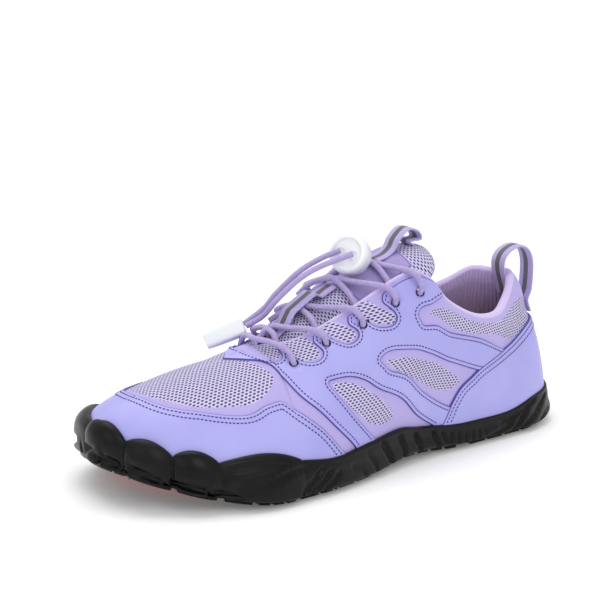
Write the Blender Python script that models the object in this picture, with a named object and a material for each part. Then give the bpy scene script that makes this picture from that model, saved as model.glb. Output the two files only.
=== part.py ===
# A left barefoot shoe, standing on its sole. +X points to the toe, +Y to the shoe's outer (lateral) side.
# Every piece of the upper and the sole is worked out from one surface, the outside of the lasted upper:
# a runs round the feather line, from the heel along the lateral side to the toe and back along the medial
# side, one unit for each row of FOOT_ROWS, and v runs from the feather line (0) up to the collar, the
# throat or the ridge over the toes (1).

import math

import bpy
import bmesh
import numpy as np
from mathutils.geometry import delaunay_2d_cdt

# Named sizes, in metres.
FOOT_LENGTH = 0.257          # feather line, heel to toe
BALL_WIDTH = 0.096           # feather line, across the ball
HEEL_HEIGHT = 0.0735         # collar at the back, over the floor
INSTEP_HEIGHT = 0.0895       # top of the eyestay, over the floor
UPPER_WALL = 0.0022
COLLAR_PADDING = 0.0016      # more wall towards the collar's edge
OVERLAY_THICKNESS = 0.0009
SOLE_THICKNESS = 0.0065      # lug face to the floor inside
LUG_DEPTH = 0.002
TOE_SPRING = 0.0155
ARCH_RISE = 0.0025
HEEL_BEVEL = 0.005
RAND_THICKNESS = 0.0027
RAND_LIP = 0.0011            # wall at the rand's upper edge
INLAY_THICKNESS = 0.0012
INSOLE_THICKNESS = 0.003
TONGUE_THICKNESS = 0.003
TAPE_WIDTH = 0.0095
TAPE_THICKNESS = 0.0012
HEEL_LOOP_RISE = 0.013       # pull loop over the collar
TONGUE_LOOP_RISE = 0.010
LACE_DIAMETER = 0.0028
EYELET_DIAMETER = 0.0044
LOCK_DIAMETER = 0.020
LOCK_DEPTH = 0.0105
CLIP_LENGTH = 0.020
CLIP_WIDTH = 0.0085
CLIP_THICKNESS = 0.0055
CLEARANCE = 0.0003           # between pieces that meet
RAND_GAP = 0.0005            # rand to upper
OVERLAY_GAP = 0.0007         # overlay to upper

# Rows from heel to toe. at: share of the foot's length. lateral, medial: share of the ball width.
# lean, crown: share of the ball width. wall, drop: share of the instep height.
FOOT_ROWS = [
    # at,    lateral, medial, lean,   wall,  crown, drop
    (0.004,  0.000,  0.000, -0.004, 0.235, 0.088, 0.173),
    (0.030,  0.204,  0.190,  0.000, 0.235, 0.078, 0.165),
    (0.095,  0.305,  0.295,  0.000, 0.220, 0.055, 0.170),
    (0.170,  0.325,  0.313,  0.020, 0.200, 0.050, 0.150),
    (0.255,  0.337,  0.310,  0.030, 0.210, 0.050, 0.150),
    (0.340,  0.341,  0.292,  0.030, 0.240, 0.060, 0.180),
    (0.410,  0.358,  0.285,  0.030, 0.245, 0.080, 0.190),
    (0.470,  0.388,  0.298,  0.030, 0.240, 0.110, 0.190),
    (0.550,  0.437,  0.350,  0.030, 0.220, 0.150, 0.160),
    (0.635,  0.482,  0.430,  0.030, 0.200, 0.190, 0.090),
    (0.710,  0.496,  0.488,  0.030, 0.180, 0.240, 0.000),
    (0.790,  0.487,  0.505,  0.030, 0.170, 0.260, 0.000),
    (0.870,  0.399,  0.500,  0.030, 0.160, 0.240, 0.000),
    (0.935,  0.269,  0.420,  0.030, 0.155, 0.200, 0.000),
    (0.980,  0.118,  0.270,  0.030, 0.150, 0.170, 0.000),
    (1.000, -0.063,  0.063,  0.030, 0.150, 0.150, 0.000),
]

# Collar and throat edge, heel to throat base. x: share of the length, y: share of the ball width,
# z: share of a height that goes from the heel's (instep 0) to the instep's (instep 1).
COLLAR_ROWS = [
    # instep, lateral x, y, z,          medial x, y, z
    (0.0,     0.056, 0.000, 1.000,      0.056, 0.000, 1.000),
    (0.0,     0.078, 0.083, 0.973,      0.068, 0.083, 0.993),
    (0.0,     0.113, 0.146, 0.857,      0.099, 0.188, 0.993),
    (0.0,     0.163, 0.219, 0.803,      0.148, 0.266, 0.898),
    (0.0,     0.241, 0.286, 0.850,      0.226, 0.302, 0.837),
    (1.0,     0.319, 0.312, 0.816,      0.311, 0.312, 0.804),
    (1.0,     0.362, 0.296, 0.958,      0.362, 0.292, 0.955),
    (1.0,     0.405, 0.240, 0.990,      0.405, 0.240, 0.980),
    (1.0,     0.514, 0.198, 0.844,      0.514, 0.198, 0.808),
    (1.0,     0.623, 0.156, 0.718,      0.623, 0.150, 0.672),
    (1.0,     0.677, 0.000, 0.660,      0.677, 0.000, 0.660),
]

# The ridge from the throat's base to the toe. x: share of the length, z: share of the instep height.
RIDGE_ROWS = [(0.677, 0.660), (0.750, 0.617), (0.812, 0.588), (0.862, 0.562), (0.898, 0.541), (0.926, 0.513)]

# Height of the rand's upper edge on each foot row, as v on the upper: lateral, medial.
RAND_ROWS = [
    (0.130, 0.130), (0.130, 0.130), (0.155, 0.150), (0.105, 0.120), (0.100, 0.120), (0.090, 0.130),
    (0.100, 0.150), (0.140, 0.170), (0.160, 0.170), (0.150, 0.160), (0.185, 0.180), (0.230, 0.200),
    (0.205, 0.220), (0.200, 0.270), (0.240, 0.300), (0.340, 0.340),
]

# Toe scallops of the rand. start, end: a. out: share of the ball width. rise: added to the rand's v.
SCALLOPS = [
    # start, end,   out,   rise
    (10.10, 11.93, 0.014, 0.050),
    (11.93, 12.90, 0.030, 0.085),
    (12.90, 14.06, 0.034, 0.100),
    (14.06, 15.36, 0.034, 0.130),
    (15.36, 18.30, 0.030, 0.090),
]

# Upright ribs on the sole's side. start, end: a. count. depth: share of the rand's thickness.
SIDE_RIBS = [(2.60, 4.60, 4, 0.35), (5.10, 7.60, 5, 0.75), (9.20, 10.10, 3, 0.55), (21.6, 25.2, 7, 0.70)]

# Tongue, front to back. x: share of the length. z, drop at the sides: share of the instep height.
# middle, half: share of the ball width. thick: share of the tongue's thickness.
TONGUE_ROWS = [
    # x,     z,     half,  drop,  thick, middle
    (0.724, 0.565, 0.120, 0.022, 0.6, -0.015),
    (0.677, 0.605, 0.156, 0.055, 0.8, -0.020),
    (0.623, 0.700, 0.185, 0.115, 0.9, -0.030),
    (0.568, 0.790, 0.205, 0.140, 1.0, -0.035),
    (0.514, 0.872, 0.225, 0.150, 1.0, -0.035),
    (0.459, 0.935, 0.240, 0.140, 1.0, -0.028),
    (0.409, 0.995, 0.245, 0.125, 1.1, -0.015),
    (0.370, 1.022, 0.245, 0.085, 1.4, -0.008),
    (0.331, 1.046, 0.230, 0.060, 1.8,  0.000),
    (0.302, 1.040, 0.190, 0.040, 1.6,  0.000),
]

# Eyelets, top to bottom: a and v on the lateral side, and how far the medial ones lie ahead.
EYELETS = [(6.68, 0.85, 0.20), (7.36, 0.85, 0.30), (7.98, 0.85, 0.34), (8.68, 0.86, 0.28), (9.50, 0.80, 0.10)]

# Panel edges on the lateral side, as (a, v).
QUARTER_FRONT = [(8.42, 0.20), (8.57, 0.24), (8.85, 0.33), (9.28, 0.45), (9.65, 0.54), (9.86, 0.60),
                 (10.01, 0.68), (10.12, 0.76), (10.02, 0.86), (9.86, 0.94)]
QUARTER_COLLAR = [(5.62, 0.93), (6.10, 0.86), (6.62, 0.79), (6.84, 0.745), (6.76, 0.70), (6.20, 0.68),
                  (5.50, 0.715), (4.92, 0.75), (4.40, 0.765), (4.05, 0.76), (3.55, 0.72), (3.20, 0.66)]
COUNTER_EDGE = [(3.12, 0.645), (3.91, 0.54), (4.33, 0.44), (4.61, 0.36), (4.84, 0.24), (4.97, 0.17)]
COUNTER_TOP = [(0.0, 0.63), (0.77, 0.645), (1.83, 0.68), (2.50, 0.68), (2.98, 0.655)]
GUARD_EDGE = [(8.86, 0.19), (9.10, 0.28), (9.32, 0.35), (9.65, 0.42), (10.03, 0.49), (10.35, 0.54), (10.70, 0.55),
              (11.00, 0.53), (11.35, 0.53), (11.80, 0.55), (12.36, 0.60), (13.42, 0.68), (14.24, 0.76), (15.0, 0.79),
              (16.15, 0.73), (16.93, 0.66), (18.0, 0.59), (19.0, 0.54), (19.65, 0.55), (20.0, 0.49), (20.35, 0.42),
              (20.68, 0.35), (20.90, 0.28), (21.14, 0.20)]
WINDOWS = [
    [(8.86, 0.60), (8.62, 0.585), (8.30, 0.50), (7.85, 0.39), (7.24, 0.27), (7.30, 0.225), (7.75, 0.23), (8.10, 0.30),
     (8.42, 0.41), (8.70, 0.52)],
    [(7.66, 0.585), (7.25, 0.555), (6.48, 0.505), (5.55, 0.495), (4.82, 0.47), (4.86, 0.41), (5.28, 0.345), (6.25, 0.375),
     (7.00, 0.455), (7.46, 0.525)],
    [(7.86, 0.955), (7.66, 0.94), (7.46, 0.82), (7.54, 0.775), (7.70, 0.80), (7.85, 0.90)],
    [(8.56, 0.95), (8.36, 0.91), (8.24, 0.82), (8.30, 0.78), (8.45, 0.82), (8.55, 0.89)],
    [(9.24, 0.93), (9.06, 0.90), (8.97, 0.83), (9.04, 0.79), (9.22, 0.79), (9.28, 0.87)],
]

# Sole windows, as (share of the length from the heel, share of the ball width).
FOREFOOT_WINDOW = [
    (0.722, 0.330), (0.712, 0.245), (0.757, 0.170), (0.795, 0.098), (0.826, 0.010), (0.850, -0.085),
    (0.866, -0.195), (0.876, -0.300), (0.884, -0.400), (0.905, -0.340), (0.922, -0.225), (0.905, -0.150),
    (0.888, -0.125), (0.903, -0.045), (0.886, 0.030), (0.870, 0.060), (0.876, 0.100), (0.852, 0.175), (0.832, 0.205),
    (0.836, 0.230), (0.803, 0.305),
]
ARCH_WINDOW = [
    (0.262, 0.038), (0.262, 0.062), (0.306, 0.124), (0.365, 0.177), (0.433, 0.233), (0.491, 0.276), (0.537, 0.295), (0.566, 0.202),
    (0.610, 0.101), (0.653, 0.032), (0.706, 0.010), (0.674, -0.122), (0.645, -0.040), (0.613, 0.030), (0.565, 0.070),
    (0.516, 0.085), (0.464, 0.093), (0.418, 0.100), (0.365, 0.090), (0.320, 0.078),
]
# The raised band under the toes, as a centre line of (share of the length, share of the ball width).
TOE_BAND = [(0.775, 0.446), (0.812, 0.356), (0.850, 0.262), (0.892, 0.130), (0.926, -0.010), (0.942, -0.130),
            (0.938, -0.230), (0.912, -0.400)]
# Ring lugs: centre (share of the length, share of the ball width), then radii as shares of the ball width.
RINGS = [
    # x,    y,      core,  ring from, to,    arc from, to,    first and last degree of the arc
    (0.667, 0.325, 0.078, 0.096, 0.122, 0.146, 0.176, 95, 290),
    (0.806, -0.250, 0.108, 0.132, 0.170, 0.205, 0.240, 75, 250),
]

LAST_ROW = len(FOOT_ROWS) - 1
THROAT_ROW = len(COLLAR_ROWS) - 1
LOOP = 2 * LAST_ROW


def through(values, at, closed=False):
    """A smooth curve through evenly numbered values."""
    values = np.asarray(values, float)
    at = np.asarray(at, float)
    count = len(values)
    first = np.floor(at).astype(int)
    if not closed:
        first = np.clip(first, 0, count - 2)
    f = at - first
    if values.ndim > 1:
        f = f[..., None]
    near = [values[(first + k) % count] if closed else values[np.clip(first + k, 0, count - 1)] for k in (-1, 0, 1, 2)]
    before, start, end, after = near
    if not closed:
        at_start, at_end = first == 0, first == count - 2
        if values.ndim > 1:
            at_start, at_end = at_start[..., None], at_end[..., None]
        before = np.where(at_start, 2 * start - end, before)
        after = np.where(at_end, 2 * end - start, after)
    return 0.5 * (2 * start + (end - before) * f + (2 * before - 5 * start + 4 * end - after) * f**2
                  + (3 * start - before - 3 * end + after) * f**3)


def column(rows, k):
    return [row[k] for row in rows]


def both_sides(lateral, medial):
    """A column over the whole loop: heel to toe on the lateral side, then back on the medial one."""
    return list(lateral) + list(medial)[-2:0:-1]


def ground(x):
    """Height of the lug faces over the floor: flat at heel and ball, raised at the arch, heel edge and toe."""
    share = np.asarray(x) / FOOT_LENGTH
    toe = np.clip((share - 0.73) / 0.27, 0, 1.1) ** 1.7
    arch = np.sin(np.pi * np.clip((share - 0.28) / 0.28, 0, 1)) ** 2
    heel = np.clip((0.09 - share) / 0.10, 0, 1.2) ** 1.6
    return TOE_SPRING * toe + ARCH_RISE * arch + HEEL_BEVEL * heel


def feather(a):
    """Plan of the line where upper and sole meet."""
    at = column(FOOT_ROWS, 0)
    x = through(both_sides(at, at), a, True) * FOOT_LENGTH
    y = through(both_sides(column(FOOT_ROWS, 1), [-m for m in column(FOOT_ROWS, 2)]), a, True) * BALL_WIDTH
    return x, y


def outward(a, step=0.01):
    x0, y0 = feather(a - step)
    x1, y1 = feather(a + step)
    dx, dy = x1 - x0, y1 - y0
    length = np.hypot(dx, dy)
    return -dy / length, dx / length


def swing(x):
    """The forefoot's curve towards the medial side."""
    return -0.02 * BALL_WIDTH * np.clip((np.asarray(x) / FOOT_LENGTH - 0.3) / 0.6, 0, 1)


def top_line(a):
    """The collar and throat edge and, past the throat, the ridge with its slope."""
    a = np.asarray(a, float) % LOOP
    row = np.where(a <= LAST_ROW, a, LOOP - a)
    side = np.where(a <= LAST_ROW, 1, -1)
    heights = [HEEL_HEIGHT * (1 - r[0]) + INSTEP_HEIGHT * r[0] for r in COLLAR_ROWS]
    lateral = [(r[1] * FOOT_LENGTH, r[2] * BALL_WIDTH, r[3] * h) for r, h in zip(COLLAR_ROWS, heights)]
    medial = [(r[4] * FOOT_LENGTH, -r[5] * BALL_WIDTH, r[6] * h) for r, h in zip(COLLAR_ROWS, heights)]
    edge = np.array(medial[:0:-1] + lateral)
    on_edge = THROAT_ROW + side * np.minimum(row, THROAT_ROW)
    on_ridge = np.clip(row - THROAT_ROW, 0, LAST_ROW - THROAT_ROW)
    past = row > THROAT_ROW - 1e-6
    ridge_x, ridge_z = column(RIDGE_ROWS, 0), column(RIDGE_ROWS, 1)
    x = np.where(past, through(ridge_x, on_ridge) * FOOT_LENGTH, through(edge[:, 0], on_edge))
    y = np.where(past, 0, through(edge[:, 1], on_edge))
    z = np.where(past, through(ridge_z, on_ridge) * INSTEP_HEIGHT, through(edge[:, 2], on_edge))
    step = 0.001
    dx = (through(ridge_x, on_ridge + step) - through(ridge_x, on_ridge - step)) * FOOT_LENGTH
    dz = (through(ridge_z, on_ridge + step) - through(ridge_z, on_ridge - step)) * INSTEP_HEIGHT
    return x, y + swing(x), z, np.where(past, dz / dx, 0), past


def surface(a, v):
    """The outside of the lasted upper. Each section is one cubic curve from feather line to top line."""
    a, v = np.broadcast_arrays(np.asarray(a, float), np.asarray(v, float))
    x, y = feather(a)
    ox, oy = outward(a)
    lean, wall, crown, drop = (through(both_sides(column(FOOT_ROWS, k), column(FOOT_ROWS, k)), a, True)
                               for k in (3, 4, 5, 6))
    tx, ty, tz, slope, _ = top_line(a)
    lean, crown = lean * BALL_WIDTH, crown * BALL_WIDTH
    low = np.stack([x, y, ground(x) + SOLE_THICKNESS + 1.7 * CLEARANCE], -1)
    top = np.stack([tx, ty, tz], -1)
    rise = np.stack([ox * lean, oy * lean, wall * INSTEP_HEIGHT], -1)
    fall = np.stack([ox * crown, oy * crown, ox * crown * slope - drop * INSTEP_HEIGHT], -1)
    v = v[..., None]
    return (low * (1 - v)**3 + 3 * (low + rise) * v * (1 - v)**2
            + 3 * (top + fall) * v**2 * (1 - v) + top * v**3)


def normal(a, v):
    a, v = np.broadcast_arrays(np.asarray(a, float), np.asarray(v, float))
    step = 0.002
    along = surface(a + step, v) - surface(a - step, v)
    across = surface(a, np.minimum(v + step, 1)) - surface(a, np.maximum(v - step, 0))
    n = np.cross(across, along)
    _, _, _, slope, past = top_line(a)
    ridge = np.stack([-slope, 0 * slope, 1 + 0 * slope], -1)
    n = np.where((past & (v > 0.999))[..., None], ridge, n)
    return n / np.linalg.norm(n, axis=-1, keepdims=True)


def skin(a, v, depth):
    """The upper's surface pushed out by a depth, or in by a negative one."""
    return surface(a, v) + normal(a, v) * np.broadcast_to(np.asarray(depth, float), np.broadcast(a, v).shape)[..., None]


# Distances along the feather line, so that ribs and lugs keep their size round the tight ends.
FINE = np.linspace(0, LOOP, 1201)
FINE_X, FINE_Y = feather(FINE)
FINE_LENGTH = np.concatenate([[0], np.cumsum(np.hypot(np.diff(FINE_X), np.diff(FINE_Y)))])


def loop_at(distance):
    """a at a distance along the feather line from the heel: + along the lateral side, - along the medial."""
    return np.interp(np.asarray(distance, float) % FINE_LENGTH[-1], FINE_LENGTH, FINE)


def distance_to(a):
    return np.interp(a, FINE, FINE_LENGTH)


def scallop(a):
    """(bulge outwards, rise of the rand's edge) of the toe scallops."""
    out, rise = np.zeros_like(a), np.zeros_like(a)
    for start, end, push, lift in SCALLOPS:
        f = np.clip((a - start) / (end - start), 0, 1)
        hump = np.sin(np.pi * f) ** 0.7
        out += push * BALL_WIDTH * hump
        rise += lift * hump
    return out, rise


def rib(a):
    """How far the side's ribs cut into the rand."""
    cut = np.zeros_like(a)
    for start, end, count, depth in SIDE_RIBS:
        phase = (a - start) / (end - start) * count
        inside = (phase > -0.5) & (phase < count + 0.5)
        groove = np.clip(1 - np.abs(phase - np.round(phase)) / 0.24, 0, 1)
        cut = np.where(inside, np.maximum(cut, depth * RAND_THICKNESS * np.minimum(groove * 2, 1)), cut)
    return cut


def rand_top(a):
    edge = through(both_sides(column(RAND_ROWS, 0), column(RAND_ROWS, 1)), a, True)
    return edge + scallop(a)[1]


def sole_edge(a, inset=0.0):
    """The sole's outline on its underside, moved in by an inset."""
    x, y = feather(a)
    ox, oy = outward(a)
    out = RAND_THICKNESS * 0.55 + 0.75 * scallop(a)[0] - inset
    return np.stack([x + ox * out, y + oy * out], -1)


# Mesh helpers.

def grid(points):
    """Points and faces of a rectangular net of points."""
    m, n = points.shape[:2]
    faces = [(i * n + j, (i + 1) * n + j, (i + 1) * n + j + 1, i * n + j + 1) for i in range(m - 1) for j in range(n - 1)]
    return points.reshape(-1, 3), faces


def ring_net(points):
    """A net whose first index closes on itself."""
    return grid(np.concatenate([points, points[:1]]))


def shoe_root(origin):
    root = bpy.data.objects.new("shoe", None)
    root.location = (-origin[0], -origin[1], 0)
    bpy.context.scene.collection.objects.link(root)
    return root


def principled(name, colour, roughness, metallic=0.0):
    material = bpy.data.materials.new(name)
    material.use_nodes = True
    shader = material.node_tree.nodes["Principled BSDF"]
    shader.inputs["Base Color"].default_value = (*colour, 1)
    shader.inputs["Roughness"].default_value = roughness
    shader.inputs["Metallic"].default_value = metallic
    return material


def solid(name, parts, material, root, smooth_angle=math.radians(35)):
    """One closed mesh from nets whose borders meet."""
    mesh = bpy.data.meshes.new(name)
    build = bmesh.new()
    for points, faces in parts:
        verts = [build.verts.new(p) for p in points]
        for face in faces:
            corners = [verts[k] for k in dict.fromkeys(face)]
            if len(corners) > 2:
                build.faces.new(corners)
    bmesh.ops.remove_doubles(build, verts=build.verts, dist=2e-6)
    bmesh.ops.dissolve_degenerate(build, edges=build.edges, dist=1e-7)
    bmesh.ops.recalc_face_normals(build, faces=build.faces)
    build.to_mesh(mesh)
    build.free()
    mesh.shade_smooth()
    mesh.set_sharp_from_angle(angle=smooth_angle)
    obj = bpy.data.objects.new(name, mesh)
    obj.parent = root
    mesh.materials.append(material)
    bpy.context.scene.collection.objects.link(obj)
    return obj


def cutter(obj):
    obj.hide_render = True
    obj.display_type = "WIRE"
    return obj


def boolean(target, other, operation):
    change = target.modifiers.new(operation.lower(), "BOOLEAN")
    change.operation = operation
    change.object = other


def plan_mesh(outline, shapes=(), spread=()):
    """Triangles of an outline, split along the shapes drawn on it: (points, triangles, shape of each triangle)."""
    scale = 1000.0
    points, loops = [], []
    for loop in [outline, *shapes]:
        loop = np.asarray(loop, float)[:, :2] * scale
        after = np.roll(loop, -1, 0)
        turn = np.sum(loop[:, 0] * after[:, 1] - loop[:, 1] * after[:, 0])
        loops.append(list(range(len(points), len(points) + len(loop))))
        points += [tuple(p) for p in (loop if turn > 0 else loop[::-1])]
    points += [tuple(p) for p in np.asarray(spread, float).reshape(-1, 2) * scale]
    verts, _, faces, _, _, origin = delaunay_2d_cdt(points, [], loops, 1, 1e-4)
    triangles, kinds = [], []
    for face, sources in zip(faces, origin):
        inside = [k for k in sources if k > 0]
        triangles.append(tuple(face))
        kinds.append(min(inside) if inside else 0)
    return np.array([tuple(p) for p in verts]) / scale, triangles, kinds


def spread_points(outline, step):
    """Points on a regular net inside an outline, away from its edge."""
    outline = np.asarray(outline)
    low, high = outline.min(0), outline.max(0)
    found = []
    for x in np.arange(low[0] + step[0] / 2, high[0], step[0]):
        for y in np.arange(low[1] + step[1] / 2, high[1], step[1]):
            if inside_of(outline, x, y) and np.min(np.hypot((outline[:, 0] - x) / step[0], (outline[:, 1] - y) / step[1])) > 0.35:
                found.append((x, y))
    return found


def inside_of(outline, x, y):
    px, py = outline[:, 0], outline[:, 1]
    qx, qy = np.roll(px, -1), np.roll(py, -1)
    crosses = (py > y) != (qy > y)
    at = px + (y - py) / np.where(qy == py, 1e-12, qy - py) * (qx - px)
    return bool(np.count_nonzero(crosses & (at > x)) % 2)


def smooth_loop(points, each):
    points = np.asarray(points, float)
    return through(points, np.arange(len(points) * each) / each, True)


def smooth_line(points, each):
    points = np.asarray(points, float)
    return through(points, np.linspace(0, len(points) - 1, (len(points) - 1) * each + 1))


def shrink(outline, inset):
    """An outline moved inwards by the same distance on every side."""
    outline = np.asarray(outline, float)
    along = np.roll(outline, -1, 0) - outline
    turn = np.stack([-along[:, 1], along[:, 0]], -1)
    turn /= np.linalg.norm(turn, axis=1, keepdims=True)
    before = np.roll(turn, 1, 0)
    mitre = (turn + before) / np.maximum(1 + np.sum(turn * before, 1, keepdims=True), 0.12)
    x, y = outline[:, 0], outline[:, 1]
    area = np.sum(x * np.roll(y, -1) - y * np.roll(x, -1))
    return outline + mitre * inset * (1 if area > 0 else -1)


def sheet_on_last(name, outline, holes, inner, outer, material, root):
    """A panel on the upper's surface, given as outlines in (a, v), between two depths over that surface."""
    scale = np.array([0.020, 0.075])
    flat = [np.asarray(loop) * scale for loop in [outline, *holes]]
    spread = []
    for a in np.concatenate([NET_COLUMNS - LOOP, NET_COLUMNS]):
        for v in NET_ROWS[1:-1]:
            p = np.array([a, v]) * scale
            if inside_of(flat[0], *p) and not any(inside_of(h, *p) for h in flat[1:]):
                if min(np.min(np.hypot(*(h - p).T)) for h in flat) > 0.0022:
                    spread.append(p)
    points, triangles, kinds = plan_mesh(flat[0], flat[1:], spread)
    triangles = [t for t, k in zip(triangles, kinds) if k == 0]
    used = sorted({k for t in triangles for k in t})
    number = {k: i for i, k in enumerate(used)}
    triangles = [tuple(number[k] for k in t) for t in triangles]
    at = points[used] / scale
    low = skin(at[:, 0], at[:, 1], inner)
    high = skin(at[:, 0], at[:, 1], outer)
    count = len(used)
    edges = {}
    for t in triangles:
        for i in range(3):
            edge = (t[i], t[(i + 1) % 3])
            edges[edge] = edges.get(edge, 0) + 1
    rim = [e for e in edges if (e[1], e[0]) not in edges]
    faces = [t[::-1] for t in triangles] + [tuple(k + count for k in t) for t in triangles]
    faces += [(p, q, q + count, p + count) for p, q in rim]
    return solid(name, [(np.concatenate([low, high]), faces)], material, root)


def mirrored(points):
    return [(LOOP - a, v) for a, v in points]


def net_columns():
    """Columns of the upper's net: three for each foot row round heel and toe, two along the sides."""
    side = [k / 3 for k in range(1, 7)] + [k / 2 for k in range(5, 25)] + [k / 3 for k in range(37, 45)]
    return np.array([0.0] + side + [float(LAST_ROW)] + [LOOP - a for a in side[::-1]])


# The upper's net: columns in a and rows in v. Panels on it share its points, so that both bend alike.
NET_COLUMNS = net_columns()
NET_ROWS = [0, 0.13, 0.26, 0.39, 0.52, 0.65, 0.77, 0.88, 1.0]


# Pieces.

def rand_columns():
    """Where the rand's net has its columns: close together on scallops and ribs, wide apart elsewhere."""
    stops = set()
    for start, end, _, _ in SCALLOPS:
        stops.update(start + (end - start) * f for f in (0, 0.07, 0.25, 0.5, 0.75, 0.93))
    for start, end, count, _ in SIDE_RIBS:
        pitch = (end - start) / count
        for k in range(count + 1):
            stops.update(start + pitch * (k + f) for f in (-0.24, 0, 0.24))
    plain = [float(loop_at(d)) for d in np.arange(0, FINE_LENGTH[-1], 0.0078)]
    busy = sorted(stops)
    gap = 0.0048
    for a in plain:
        if min(abs(distance_to(a) - distance_to(b)) for b in busy) > gap:
            stops.add(a)
    return np.array(sorted(stops))


def brick(start, end, near, far, steps=2):
    """A lug along the sole's edge, between two distances from the heel and two insets from the edge."""
    a = loop_at(np.linspace(start, end, steps + 1))
    return np.concatenate([sole_edge(a, near), sole_edge(a[::-1], far)])


def lug_outlines():
    """Plan outlines of the lugs that stand on the sole's underside."""
    lugs = []
    gap = 0.0014
    edge = 0.0010

    def run(start, end, count, near, far, steps=2, slant=0.0):
        pitch = (end - start) / count
        for k in range(count):
            first, last = start + pitch * k + gap / 2, start + pitch * (k + 1) - gap / 2
            lug = brick(first, last, near, far, steps)
            if slant:
                shifted = brick(first + slant, last + slant, near, far, steps)
                lug[steps + 1:] = shifted[steps + 1:]
            lugs.append(lug)

    quarter = 0.33 * FOOT_LENGTH
    # heel: three rows of bricks round the end
    run(-quarter, quarter, 14, edge, edge + 0.0078)
    run(-0.26 * FOOT_LENGTH, 0.26 * FOOT_LENGTH, 10, edge + 0.0095, edge + 0.0160, 2)
    # arch: short slanted ribs outside, long ones inside
    run(0.36 * FOOT_LENGTH, 0.58 * FOOT_LENGTH, 6, edge, edge + 0.0075, 1, -0.004)
    run(-0.60 * FOOT_LENGTH, -0.35 * FOOT_LENGTH, 8, edge, edge + 0.0170, 1, 0.003)
    # forefoot edges
    run(0.60 * FOOT_LENGTH, distance_to(10.1), 4, edge, edge + 0.0055, 2)
    medial_start, medial_end = distance_to(18.45) - FINE_LENGTH[-1], -0.62 * FOOT_LENGTH
    run(medial_start, medial_end, 5, edge, edge + 0.0055, 2)
    # little toe
    first, last = distance_to(SCALLOPS[0][0]), distance_to(SCALLOPS[0][1])
    run(first + 0.001, last - 0.0165, 3, edge, edge + 0.0085, 1, 0.002)
    run(last - 0.0155, last - 0.0008, 1, edge, edge + 0.0100, 3)
    # three middle toes: a block at the rim and a pointed pad behind it
    for start, end, _, _ in SCALLOPS[1:4]:
        d0, d1 = distance_to(start) + 0.0011, distance_to(end) - 0.0011
        lugs.append(brick(d0, d1, edge, edge + 0.0062, 4))
        a = loop_at([d0 + 0.0004, (d0 + d1) / 2, d1 - 0.0004])
        near, far, tip = edge + 0.0076, edge + 0.0125, edge + 0.0180
        pad = [sole_edge(a[:1], near)[0], sole_edge(a[2:], near)[0], sole_edge(a[2:], far)[0],
               sole_edge(a[1:2], tip)[0], sole_edge(a[:1], far)[0]]
        lugs.append(np.array(pad))
    # big toe: three long curved ridges
    start, end = distance_to(SCALLOPS[4][0]), distance_to(SCALLOPS[4][1])
    for k, (near, far, reach) in enumerate([(0, 0.0052, 0.98), (0.0066, 0.0108, 0.84), (0.0122, 0.0158, 0.55)]):
        lugs.append(brick(start + 0.0014 + 0.004 * k, start + (end - start) * reach, edge + near, edge + far, 8))
    # band behind the toes
    line = smooth_line(TOE_BAND, 2) * [FOOT_LENGTH, BALL_WIDTH]
    side = np.gradient(line, axis=0)
    side = np.stack([-side[:, 1], side[:, 0]], -1) / np.linalg.norm(side, axis=1, keepdims=True)
    lugs.append(np.concatenate([line + side * 0.0019, (line - side * 0.0019)[::-1]]))
    # rings with split cores
    for x, y, core, inner, outer, far, farthest, first, last in RINGS:
        centre = np.array([x * FOOT_LENGTH, y * BALL_WIDTH])

        def arc(radius, start, end, steps):
            t = np.radians(np.linspace(start, end, steps + 1))
            return centre + radius * BALL_WIDTH * np.stack([np.cos(t), np.sin(t)], -1)

        for side in (12, 192):
            lugs.append(arc(core, side, side + 156, 6))
        for side in (0, 180):
            lugs.append(np.concatenate([arc(outer, side + 4, side + 176, 8), arc(inner, side + 176, side + 4, 6)]))
        lugs.append(np.concatenate([arc(farthest, first, last, 9), arc(far, last, first, 7)]))
    return lugs


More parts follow.
